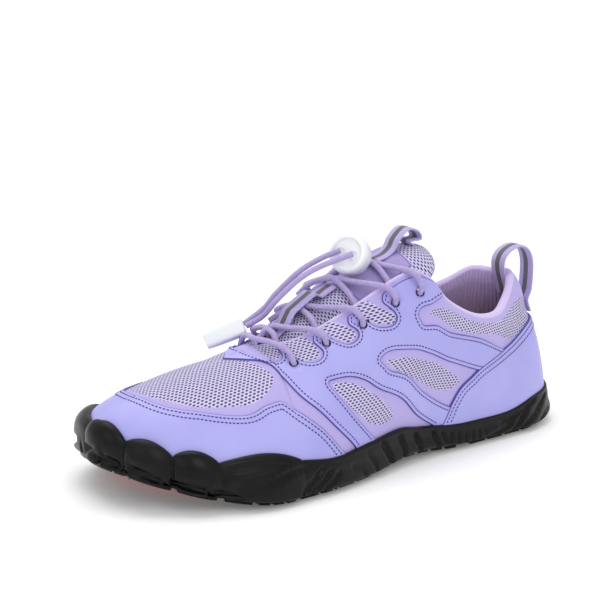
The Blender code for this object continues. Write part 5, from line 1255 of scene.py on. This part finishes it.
# The sole: its side with toe bumps and carved grooves, and the tread under it
soleLook = {
    "columns": 900, "rows": 26, "lip": 0.0007, "bevel": 0.0006, "toeCut": 0.0042,
    # grooves in the side: places along it and shares of its height, width, depth
    "grooves": [
        # little toe: a leaf with a second line inside
        ([(11.80, 0.36), (11.84, 0.60), (11.70, 0.75), (11.30, 0.77), (10.85, 0.77), (10.30, 0.76)], 0.0014, 0.0012),
        ([(11.80, 0.36), (11.45, 0.38), (11.00, 0.47), (10.52, 0.64), (9.95, 0.84)], 0.0014, 0.0013),
        ([(11.62, 0.52), (11.30, 0.56), (10.95, 0.61), (10.6, 0.70)], 0.0012, 0.0008),
        # three diagonal grooves
        ([(9.50, 0.80), (9.74, 0.56), (10.00, 0.36), (10.28, 0.04)], 0.0014, 0.0015),
        ([(9.22, 0.72), (9.50, 0.48), (9.78, 0.28), (10.02, 0.04)], 0.0014, 0.0015),
        ([(8.98, 0.60), (9.22, 0.40), (9.48, 0.20), (9.66, 0.04)], 0.0014, 0.0015),
        ([(8.70, 0.66), (8.42, 0.44), (8.20, 0.14)], 0.0013, 0.0010),
        ([(8.22, 0.78), (7.98, 0.50), (7.84, 0.12)], 0.0012, 0.0009),
        # upright grooves under the arch
        ([(7.70, 0.92), (7.46, 0.54), (7.30, 0.10)], 0.0019, 0.0019), ([(7.06, 0.88), (6.82, 0.46), (6.86, 0.10)], 0.0019, 0.0019),
        ([(6.28, 0.85), (6.06, 0.46), (6.04, 0.10)], 0.0018, 0.0018), ([(5.50, 0.86), (5.33, 0.42), (5.28, 0.10)], 0.0017, 0.0017),
        ([(5.12, 0.78), (4.98, 0.30)], 0.0013, 0.0011),
        ([(4.78, 0.74), (4.90, 0.28)], 0.0010, 0.0010), ([(4.58, 0.70), (4.63, 0.20)], 0.0010, 0.0010),
        ([(4.38, 0.66), (4.42, 0.18)], 0.0010, 0.0010), ([(4.20, 0.64), (4.20, 0.16)], 0.0010, 0.0010),
        ([(4.02, 0.62), (4.00, 0.18)], 0.0010, 0.0010), ([(3.84, 0.60), (3.80, 0.24)], 0.0009, 0.0008),
        # long swooshes round the heel
        ([(5.0, 0.22), (4.3, 0.10), (3.7, 0.22), (3.2, 0.42), (2.9, 0.60)], 0.0014, 0.0012),
        ([(3.2, 0.05), (2.85, 0.26), (2.60, 0.55), (2.30, 0.84)], 0.0015, 0.0013),
        ([(2.8, 0.10), (2.35, 0.36), (1.9, 0.62), (1.3, 0.86)], 0.0015, 0.0012),
        ([(3.4, 0.66), (2.7, 0.76), (1.9, 0.93)], 0.0012, 0.0009),
        ([(2.0, 0.14), (1.4, 0.40), (0.7, 0.60), (-0.1, 0.76)], 0.0014, 0.0011),
        ([(0.9, 0.12), (0.3, 0.34), (-0.6, 0.52), (-1.6, 0.60)], 0.0014, 0.0010),
        # a ledge under the toes, and gaps between the blocks below it
        ([(15.3, 0.40), (15.0, 0.36), (14.75, 0.30)], 0.0025, 0.0034), ([(14.62, 0.31), (14.35, 0.31), (14.08, 0.29)], 0.0025, 0.0034),
        ([(13.92, 0.34), (13.57, 0.29), (13.08, 0.25)], 0.0025, 0.0034), ([(12.98, 0.26), (12.6, 0.26), (12.18, 0.23)], 0.0025, 0.0034),
        ([(12.10, 0.24), (11.8, 0.22), (11.5, 0.14)], 0.0022, 0.0026),
        ([(14.68, 0.33), (14.68, -0.05)], 0.0017, 0.0040), ([(14.0, 0.32), (13.98, -0.05)], 0.0017, 0.0040),
        ([(13.03, 0.26), (13.03, -0.05)], 0.0017, 0.0040), ([(12.14, 0.25), (12.14, -0.05)], 0.0017, 0.0040),
        ([(15.8, 0.38), (16.5, 0.32), (17.4, 0.30), (18.1, 0.36)], 0.0025, 0.0034), ([(15.55, 0.42), (15.5, -0.05)], 0.0012, 0.0018),
        ([(16.7, 0.32), (16.68, -0.05)], 0.0011, 0.0016), ([(17.6, 0.30), (17.6, -0.05)], 0.0011, 0.0016),
        # the inner side
        ([(25.6, 0.80), (25.75, 0.12)], 0.0018, 0.0017), ([(25.0, 0.82), (25.12, 0.12)], 0.0018, 0.0017),
        ([(24.4, 0.84), (24.48, 0.12)], 0.0018, 0.0017), ([(23.8, 0.84), (23.85, 0.12)], 0.0018, 0.0017),
        ([(23.2, 0.84), (23.22, 0.12)], 0.0018, 0.0017), ([(22.6, 0.82), (22.58, 0.12)], 0.0018, 0.0017),
        ([(22.0, 0.80), (21.9, 0.12)], 0.0016, 0.0015), ([(21.4, 0.70), (21.2, 0.16)], 0.0014, 0.0011),
        ([(27.2, 0.10), (27.8, 0.40), (28.6, 0.66)], 0.0014, 0.0012), ([(26.2, 0.14), (26.9, 0.46), (27.6, 0.80)], 0.0014, 0.0012),
        ([(28.2, 0.12), (28.9, 0.34), (29.6, 0.50)], 0.0014, 0.0011),
        ([(18.9, 0.30), (19.7, 0.48), (20.6, 0.60), (21.2, 0.74)], 0.0013, 0.0010), ([(18.7, 0.62), (19.5, 0.74), (20.4, 0.80)], 0.0012, 0.0008),
        ([(19.6, 0.10), (20.2, 0.24), (20.9, 0.34)], 0.0013, 0.0010),
    ],
}


def makeSole():
    count, rows = soleLook["columns"], soleLook["rows"]
    a = np.sort(np.concatenate([loopAt(np.arange(count - 5) * fineLength[-1] / (count - 5)), [s[1] for s in scallops], [scallops[0][0]]]))
    bulge = scallop(a)[0]
    top = randTop(a)
    thick = sole["rand"] + bulge
    x, y = feather(a)
    ox, oy = outward(a)
    # the real toe end is cut back below its bumps
    back = np.clip(1 - ((a - 16.2) / 2.4) ** 2, 0, 1) ** 1.2 * soleLook["toeCut"]
    edge = soleEdge(a) - np.stack([ox, oy], -1) * back[:, None]
    low = ground(x) + sole["lugDepth"]
    out = thick + sole["gap"] + 0.4 * sole["rand"]
    controls = np.stack([
        np.stack([edge[:, 0], edge[:, 1], ground(edge[:, 0]) + sole["lugDepth"]], -1),
        np.stack([x + ox * (out - 0.0004), y + oy * (out - 0.0004), low + 0.18 * (sole["thickness"] - sole["lugDepth"])], -1),
        np.stack([x + ox * (out + 0.0002), y + oy * (out + 0.0002), low + 0.6 * (sole["thickness"] - sole["lugDepth"])], -1),
        skin(a, 0.35 * top, sole["gap"] + thick),
        skin(a, 0.60 * top, sole["gap"] + 0.93 * sole["rand"] + 0.9 * bulge),
        skin(a, 0.82 * top, sole["gap"] + 0.80 * sole["rand"] + 0.66 * bulge),
        skin(a, 0.94 * top, sole["gap"] + sole["lip"] + soleLook["lip"] + 0.0003 + 0.30 * bulge),
        skin(a, top, sole["gap"] + sole["lip"] + soleLook["lip"] - 0.0003),
    ], 1)
    at = np.linspace(0, controls.shape[1] - 1, rows)
    ease = np.array([0, 0.85, 0.6, 0.3, 0.1, 0, 0, 0])
    controls[..., :2] -= np.stack([ox, oy], -1)[:, None] * (back[:, None] * ease)[..., None]
    side = np.stack([through(controls[k], at) for k in range(len(a))])
    lipIn = skin(a, top + 0.004, sole["gap"] + 0.0002)
    tuck = skin(a, 0.80 * top, -0.0002)
    span = np.linalg.norm(np.diff(side, axis=1), axis=-1)
    climb = np.concatenate([np.zeros((len(a), 1)), np.cumsum(span, 1)], 1)
    share = climb / climb[:, -1:]
    where = np.stack([np.broadcast_to(distanceTo(a)[:, None], share.shape), climb], -1).reshape(-1, 2)
    n = np.cross(np.gradient(side, axis=1), np.roll(side, -1, 0) - np.roll(side, 1, 0))
    n /= np.linalg.norm(n, axis=-1, keepdims=True)
    centre = np.array([0.5 * last["length"], 0, 0.02])
    n *= np.sign(np.sum(n * (side - centre), -1))[..., None]
    cut = np.zeros(len(where))
    height = climb[:, -1]
    for line, wide, deep in soleLook["grooves"]:
        line = smoothLine(line, 8)
        for shift in (0, loop) if line[:, 0].min() < 0 else (0,):
            s = distanceTo(np.clip(line[:, 0] + shift, 0, loop))
            h = line[:, 1] * np.interp(line[:, 0] % loop, a, height)
            path = np.stack([s, h], -1)
            near = np.flatnonzero((where[:, 0] > s.min() - 0.004) & (where[:, 0] < s.max() + 0.004))
            p, q = path[None, :-1], path[None, 1:] - path[None, :-1]
            d = where[near][:, None] - p
            t = np.clip(np.sum(d * q, -1) / np.maximum(np.sum(q * q, -1), 1e-12), 0, 1)
            gap = np.linalg.norm(d - t[..., None] * q, axis=-1)
            best = gap.argmin(1)
            along01 = (best + t[np.arange(len(near)), best]) / (len(path) - 1)
            taper = np.clip(np.minimum(along01, 1 - along01) / 0.12, 0.0, 1) ** 0.6
            profile = np.clip(1 - (gap.min(1) / (wide * (0.45 + 0.55 * taper))) ** 2, 0, 1) * taper
            cut[near] = np.maximum(cut[near], deep * profile)
    side = side - n * cut.reshape(share.shape)[..., None]
    wall = ringNet(np.concatenate([side, lipIn[:, None], tuck[:, None]], 1))

    # inside floor, seen through the collar only round the insole
    flat = loopAt(np.arange(0, fineLength[-1], 0.008))
    floorLine = skin(flat, 0.0, sole["gap"])[:, :2]
    plan, triangles, _ = planMesh(floorLine, (), lattice(floorLine, (0.014, 0.014), 0.4))
    inner = (np.column_stack([plan, ground(plan[:, 0]) + sole["thickness"]]), triangles)

    # tread: every lug has a foot on the sole and a smaller top, with sloping walls between
    size = np.array([last["length"], last["ball"]])
    windows = [smoothLoop(np.array(w) * size, 3) for w in (forefootWindow, archWindow)]
    loops, heights = [], []
    for window in windows:
        loops += [shrink(window, -0.0009), window, shrink(window, 0.0002)]
        heights += [sole["lugDepth"], sole["lugDepth"] - 0.0006, sole["lugDepth"] + sole["inlay"]]
    for lug in lugOutlines():
        turn = stepped(lug, 0.0016)
        loops += [shrink(turn, 0.0001), shrink(turn, soleLook["bevel"])]
        heights += [sole["lugDepth"], 0.0]
    plan, triangles, level = reliefMesh(edge, loops, heights, sole["lugDepth"], lattice(edge, (0.007, 0.007), 0.5))
    tread = (np.column_stack([plan, ground(plan[:, 0]) + level]), triangles)
    return makePiece("outsole.fine", [wall, inner, tread], [rubber], ["outsole"], 2e-6)


def stepped(line, step):
    # an outline in plan with a point at each corner and even steps between
    line = np.asarray(line, float)
    found = []
    for p, q in zip(line, np.roll(line, -1, 0)):
        steps = max(1, int(round(np.linalg.norm(q - p) / step)))
        found += [p + (q - p) * k / steps for k in range(steps)]
    return np.array(found)


def reliefMesh(outline, loops, heights, base, spread):
    scale = 1000.0
    points, lines, level = [], [], []
    for line, height in zip([outline, *loops], [base, *heights]):
        line = np.asarray(line, float)[:, :2] * scale
        after = np.roll(line, -1, 0)
        turn = np.sum(line[:, 0] * after[:, 1] - line[:, 1] * after[:, 0])
        lines.append(list(range(len(points), len(points) + len(line))))
        points += [tuple(p) for p in (line if turn > 0 else line[::-1])]
        level += [height] * len(line)
    start = len(points)
    inLoop = np.full(len(spread), -1)
    for k, line in enumerate(loops):
        inLoop[inside(np.asarray(line)[:, :2], spread)] = k
    points += [tuple(p) for p in spread * scale]
    level += [base if k < 0 else heights[k] for k in inLoop]
    verts, _, faces, origins, _, _ = delaunay_2d_cdt(points, [], lines, 1, 1e-4)
    heightOf = [min((level[i] for i in found), default=base) for found in origins]
    return np.array([tuple(p) for p in verts]) / scale, [tuple(f) for f in faces], np.array(heightOf)


makeSole()
for name in ("inlay_forefoot", "inlay_arch"):
    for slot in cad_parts[name].material_slots:
        slot.material = inlay
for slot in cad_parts["insole"].material_slots:
    slot.material = footbed


# The tongue
tongueLook = {"rows": 80, "columns": 56, "cover": 0.80, "crown": 0.0022}


def makeTongue():
    at = np.linspace(0, len(tongueTable) - 1, tongueLook["rows"])
    x = through(column(tongueTable, 0), at) * last["length"]
    _, half, _, thick, middle = tongueRows(x)
    tip = np.clip((0.352 * last["length"] - x) / (0.05 * last["length"]), 0, 1)
    half = half * (1 - 0.42 * tip ** 2.2)
    across = np.linspace(-1, 1, tongueLook["columns"])
    px = np.repeat(x[:, None], len(across), 1)
    py = middle[:, None] + half[:, None] * across
    top = np.stack([px, py, tongueTop(px, py)], -1)
    soft = np.clip((0.430 * last["length"] - px) / (0.05 * last["length"]), 0, 1)
    top[..., 2] += tongueLook["crown"] * soft * np.clip(1 - np.abs(across[None, :]) ** 3, 0, 1)
    n = np.cross(np.gradient(top, axis=0), np.gradient(top, axis=1))
    n /= np.linalg.norm(n, axis=-1, keepdims=True)
    n *= np.sign(n[..., 2:3])
    bottom = top - n * thick[:, None, None]
    turn = np.linspace(0, np.pi, 7)[1:-1]
    edges = []
    for k, sign in ((-1, 1), (0, -1)):
        centre, radius = 0.5 * (top[:, k] + bottom[:, k]), thick / 2
        out = np.array([0, sign, 0]) * radius[:, None]
        edges.append(centre[:, None] + n[:, k][:, None] * radius[:, None, None] * np.cos(turn)[None, :, None]
                     + out[:, None] * np.sin(turn)[None, :, None])
    rings = np.concatenate([top, edges[0], bottom[:, ::-1], edges[1][:, ::-1]], 1)
    # the upper end is closed with a soft roll
    endOut = rings[-1] + (rings[-1] - rings[-4]) / np.linalg.norm(rings[-1] - rings[-4], axis=-1, keepdims=True) * 0.0004
    middleOf = rings[-1].mean(0)
    rolled = endOut + (middleOf - endOut) * np.array([0.05, 0.02, 0.35])
    rings = np.concatenate([rings, rolled[None]])
    p, f = closedNet(rings)
    caps = [(rings[k], [tuple(range(rings.shape[1]))]) for k in (0, -1)]
    total = rings.shape[1]
    inCover = lambda u, xs: np.maximum(np.maximum(np.abs(u + 0.10) - tongueLook["cover"], (0.362 * last["length"] - xs) / 0.020 + 0.10 * u),
                                       (xs - 0.488 * last["length"]) / 0.020 + 0.25 * u ** 2)
    u = np.concatenate([across, np.ones(5), across[::-1], -np.ones(5)])
    U = np.broadcast_to(u, rings.shape[:2])
    cover = inCover(U, rings[..., 0]) * 22
    isTop = np.zeros(total, bool)
    isTop[:len(across)] = True
    share = rings[..., 0] / last["length"]
    crownOnly = np.where((share < 0.445) | (share > 0.48), -cover, 3)
    zone = np.where(np.broadcast_to(isTop, U.shape) | (np.broadcast_to(np.abs(u) == 1, U.shape)), crownOnly + 0.8, 3)
    girth = runOf(rings[:, 28]) * 1000
    weave = np.stack([U * 20, np.broadcast_to(girth[:, None], U.shape), 0 * U], -1)
    closed = lambda values: np.concatenate([values, values[:, :1]], 1).reshape(-1, *values.shape[2:])
    flat = np.zeros(len(p) + 2 * total)
    extra3 = np.zeros((2 * total, 3))
    store = {"weave": np.concatenate([closed(weave), extra3]), "zone": np.concatenate([closed(np.clip(zone, -3, 3)), np.full(2 * total, 3)]),
             "lining": flat, "binding": flat, "deep": flat,
             "cover": np.concatenate([closed(np.clip(cover, -3, 3)), np.full(2 * total, 3)])}
    return makePiece("tongueBody", [(p, f)] + caps, [tongueFinish()], ["tongue"], 2e-6, store)


def tongueFinish():
    made = knit.copy()
    made.name = "tongue knit and cover"
    tree = made.node_tree
    shader = tree.nodes["Principled BSDF"]
    cover = fade(tree, stored(tree, "cover").outputs["Fac"], 0.1, -0.1)
    before = shader.inputs["Base Color"].links[0].from_socket
    grain = speckle(tree, 1200)
    smooth = mixed(tree, grain, colours["cover"], colours["coverShade"])
    line = fade(tree, maths(tree, "ABSOLUTE", stored(tree, "cover").outputs["Fac"]), 0.35, 0.2)
    tone = mixed(tree, cover, before, smooth)
    tree.links.new(mixed(tree, line, tone, colours["coverLine"]), shader.inputs["Base Color"])
    return made


makeTongue()


# Striped tape: the tongue's keeper and the two pull loops
def ribbon(name, path, across, replaced, jagged=0.0):
    path = np.asarray(path, float)
    path = np.stack([path[:, 0], np.broadcast_to(across, len(path)), path[:, 1]], -1)
    length = runOf(path) * 1000
    heading = np.gradient(path, axis=0)
    side = np.stack([-heading[:, 2], 0 * heading[:, 0], heading[:, 0]], -1)
    side /= np.linalg.norm(side, axis=1, keepdims=True)
    half, thin = tape["width"] / 2, tape["thickness"] / 2
    u = np.linspace(-1, 1, 17)
    outline = [(k, (1 - 0.5 * abs(k) ** 8)) for k in u] + [(k, -(1 - 0.5 * abs(k) ** 8)) for k in u[::-1]]
    rings = np.stack([path + side * (thin * h) + np.array([0, half * k, 0]) for k, h in outline], 1)
    if jagged:
        wave = np.abs((length / 2.6) % 1 - 0.5) * 2 * jagged
        rings[..., 1] += wave[:, None] * np.array([np.sign(k) * (abs(k) > 0.93) for k, _ in outline])[None]
    p, f = closedNet(rings)
    caps = [(rings[k], [tuple(range(len(outline)))]) for k in (0, -1)]
    place = np.stack([np.broadcast_to([k for k, _ in outline], rings.shape[:2]), np.broadcast_to(length[:, None], rings.shape[:2]),
                      np.zeros(rings.shape[:2])], -1)
    store = np.concatenate([np.concatenate([place, place[:, :1]], 1).reshape(-1, 3), place[0], place[-1]])
    return makePiece(name, [(p, f)] + caps, [striped], replaced, 0, {"across": store})


def makeTapes():
    x = np.linspace(0.638, 0.500, 110) * last["length"]
    ribbon("tongueWebbing", np.stack([x, tapePath(x)], -1), tongueMiddle(x), ["tongue_webbing"], 0.00035)
    x0, x1 = 0.386 * last["length"], 0.330 * last["length"]
    lift = tape["thickness"] / 2 + 1.6 * last["clearance"] + 0.0011
    low, back = tongueTop(x0, 0.0) + lift, tongueTop(x1, 0.0) + lift
    rise = tape["tongueRise"]
    path = [(x0 + 0.006, tongueTop(x0 + 0.006, 0.0) + lift), (x0, low), (x0 - 0.0042, low + 0.0030), (x0 - 0.0070, low + 0.75 * rise),
            (x0 - 0.0125, low + 1.15 * rise), (x0 - 0.0185, low + rise), (x0 - 0.0205, low + 0.6 * rise),
            (x1 + 0.0005, back + 0.0024), (x1 - 0.002, back)]
    ribbon("tonguePullLoop", smoothLine(np.array([[float(p), float(q)] for p, q in path]), 14), 0.0, ["tongue_pull_loop"])
    thick = tape["thickness"] / 2 + 4 * last["clearance"]
    collar = surface(np.array([0.0]), np.array([1.0]))[0]
    outer = [skin(np.array([0.0]), np.array([v]), thick + (overlay["thickness"] + last["clearance"] if v < 0.66 else 0.0006))[0]
             for v in (0.60, 0.70, 0.80)]
    inner = [skin(np.array([0.0]), np.array([v]), -thick - 0.30 * tape["width"] - float(wallAt(np.array([0.0]), np.array([v]))[0]))[0]
             for v in (0.93, 0.84)]
    rise = tape["heelRise"]
    top = collar[2] + rise
    path = [(p[0], p[2]) for p in outer[:2]]
    path += [(outer[2][0] - 0.0042, outer[2][2]), (collar[0] - 0.0112, collar[2] + 0.3 * rise), (collar[0] - 0.0075, top - 0.0018),
             (collar[0] - 0.0010, top), (collar[0] + 0.0062, top - 0.0030), (collar[0] + 0.0086, collar[2] + 0.3 * rise)]
    path += [(p[0], p[2]) for p in inner]
    ribbon("heelPullLoop", smoothLine(path, 14), 0.0, ["heel_pull_loop"])


makeTapes()


# Laces: each strand comes up through its eyelet, over the throat's edge and across the tongue
bendLift = overlay["gap"] + overlay["thickness"] + lace["diameter"] * 0.62


def intoEyelet(k, lateral):
    a, v = eyelet(k, lateral)
    return [face(np.array([a]), np.array([v]), d)[0] for d in (-0.0050, -0.0020, 0.0006)]


def laceTube(paths):
    nets = []
    for path in paths:
        nets += tube(even(smoothLine(path, 16), 0.0007), lace["diameter"] / 2, 12)
    return nets


def strand(k, lateral, overTape):
    path = crossingPath(k, lateral, overTape)
    a, v = eyelet(k, lateral)
    bend = skin(np.array([along(a, v, lateral, 0.02)[0]]), np.array([v + 0.045]), bendLift)[0]
    return intoEyelet(k, lateral) + [bend] + path[1:]


def makeLaces():
    laces = []
    ends = [[onEyestay(*eyelet(4, s)), onEyestay(*along(eyelet(4, s)[0], 0.93, s, 0.22))] for s in (True, False)]
    base = surface(np.array([float(throatRow)]), np.array([1.0]))[0]
    middle = base + [0.001, 0, 3.6 * last["clearance"] + tape["thickness"] + lace["diameter"] / 2]
    bends = [skin(np.array([eyelet(4, s)[0]]), np.array([0.85]), bendLift)[0]
             for s in (True, False)]
    bar = intoEyelet(4, True) + [bends[0], ends[0][1], middle, ends[1][1], bends[1]] + intoEyelet(4, False)[::-1]
    laces.append(("laceBar", laceTube([bar]), "lace_bar"))
    for number, k, overTape in ((1, 3, True), (2, 2, False), (3, 1, True)):
        laces.append((f"laceCrossing{number}", laceTube([strand(k, s, overTape) for s in (True, False)]), f"lace_crossing_{number}"))
    centre = lockAt[0]
    low = [np.array(crossingPath(0, s, False)[-1]) for s in (True, False)]
    meetX = centre[0] - 0.0105
    meet = onTongue(meetX, tongueMiddle(meetX), False)
    top = []
    for s in (True, False):
        start, edge = onEyestay(*eyelet(0, s)), onEyestay(*along(eyelet(0, s)[0], 0.985, s, 0.2))
        near = onTongue(0.45 * edge[0] + 0.55 * meet[0], 0.45 * edge[1] + 0.55 * meet[1], False)
        near[2] = max(near[2], 0.45 * edge[2] + 0.55 * meet[2])
        a, v = eyelet(0, s)
        bend = skin(np.array([a]), np.array([v + 0.045]), bendLift)[0]
        top.append(intoEyelet(0, s) + [bend, edge, near])
    under4 = [onTongue(*(0.5 * (p[:2] + meet[:2])), False) for p in low]
    laces.append(("laceCrossing4", laceTube([[low[0], under4[0], meet, under4[1], low[1]], top[0] + [meet] + top[1][::-1]]), "lace_crossing_4"))
    for name, nets, replaced in laces:
        makePiece(name, nets, [laceCord], [replaced])


makeLaces()


# The lock and the clip
def makeLock():
    centre, axis, side, lift = lockAt[:4]
    half, depth, t = lock["diameter"] / 2, lock["depth"] / 2, np.arange(64) * math.tau / 64
    profile = smoothLine([(0.0, -1.0), (0.50, -1.0), (0.80, -0.93), (0.97, -0.62), (1.0, -0.1), (0.99, 0.45), (0.93, 0.82), (0.83, 0.99),
                          (0.73, 0.97), (0.66, 0.80), (0.50, 0.72), (0.25, 0.70), (0.0, 0.70)], 4)
    rings = np.stack([[centre + axis * depth * h + half * r * (math.cos(k) * side + math.sin(k) * lift) for r, h in profile] for k in t])
    nets = [ringNet(rings)]
    looks = [0]
    for sign in (1, -1):
        place = centre + axis * (depth * 0.72) + side * sign * lock["cords"]
        s = np.arange(20) * math.tau / 20
        circle = np.cos(s)[:, None] * side + np.sin(s)[:, None] * lift
        steps = ((0.0024, 0.0), (0.0021, 0.0004), (0.0017, 0.00035), (0.0015, -0.0006), (0.0001, -0.0006))
        hole = np.stack([place + circle * r + axis * h for r, h in steps], 1)
        nets.append(ringNet(hole[:, :4]))
        looks.append(0)
        # painted shade: the floor of each cord hole takes the dark edge finish
        nets.append(ringNet(hole[:, 3:]))
        looks.append(1)
    return makePiece("cordLock", nets, [plastic, cutEdgeAndPaintedShade], ["cord_lock"], 1e-6, None, looks)


def makeClip():
    ends, heading, flat = lockAt[4:7]
    lift = np.cross(heading, flat)
    turn = math.radians(clip["roll"])
    flat, lift = flat * math.cos(turn) + lift * math.sin(turn), lift * math.cos(turn) - flat * math.sin(turn)
    t = np.arange(32) * math.tau / 32
    stations = smoothLine([(0.0, 0.70, 0.62), (0.012, 0.86, 0.80), (0.05, 0.98, 0.97), (0.14, 1.0, 1.0), (0.60, 0.95, 0.94), (0.92, 0.86, 0.80),
                           (0.985, 0.80, 0.74), (1.0, 0.66, 0.58)], 4)
    power = lambda c: np.sign(c) * np.abs(c) ** 0.45
    rings = np.stack([ends[0] + heading * clip["length"] * s + power(np.cos(t))[:, None] * flat * w * clip["width"] / 2
                      + power(np.sin(t))[:, None] * lift * h * clip["thickness"] / 2 for s, w, h in stations])
    caps = [(rings[k], [tuple(range(32))]) for k in (0, -1)]
    return makePiece("laceClip", [closedNet(rings)] + caps, [plastic], ["lace_clip"], 1e-6)


lockPiece, clipPiece = makeLock(), makeClip()
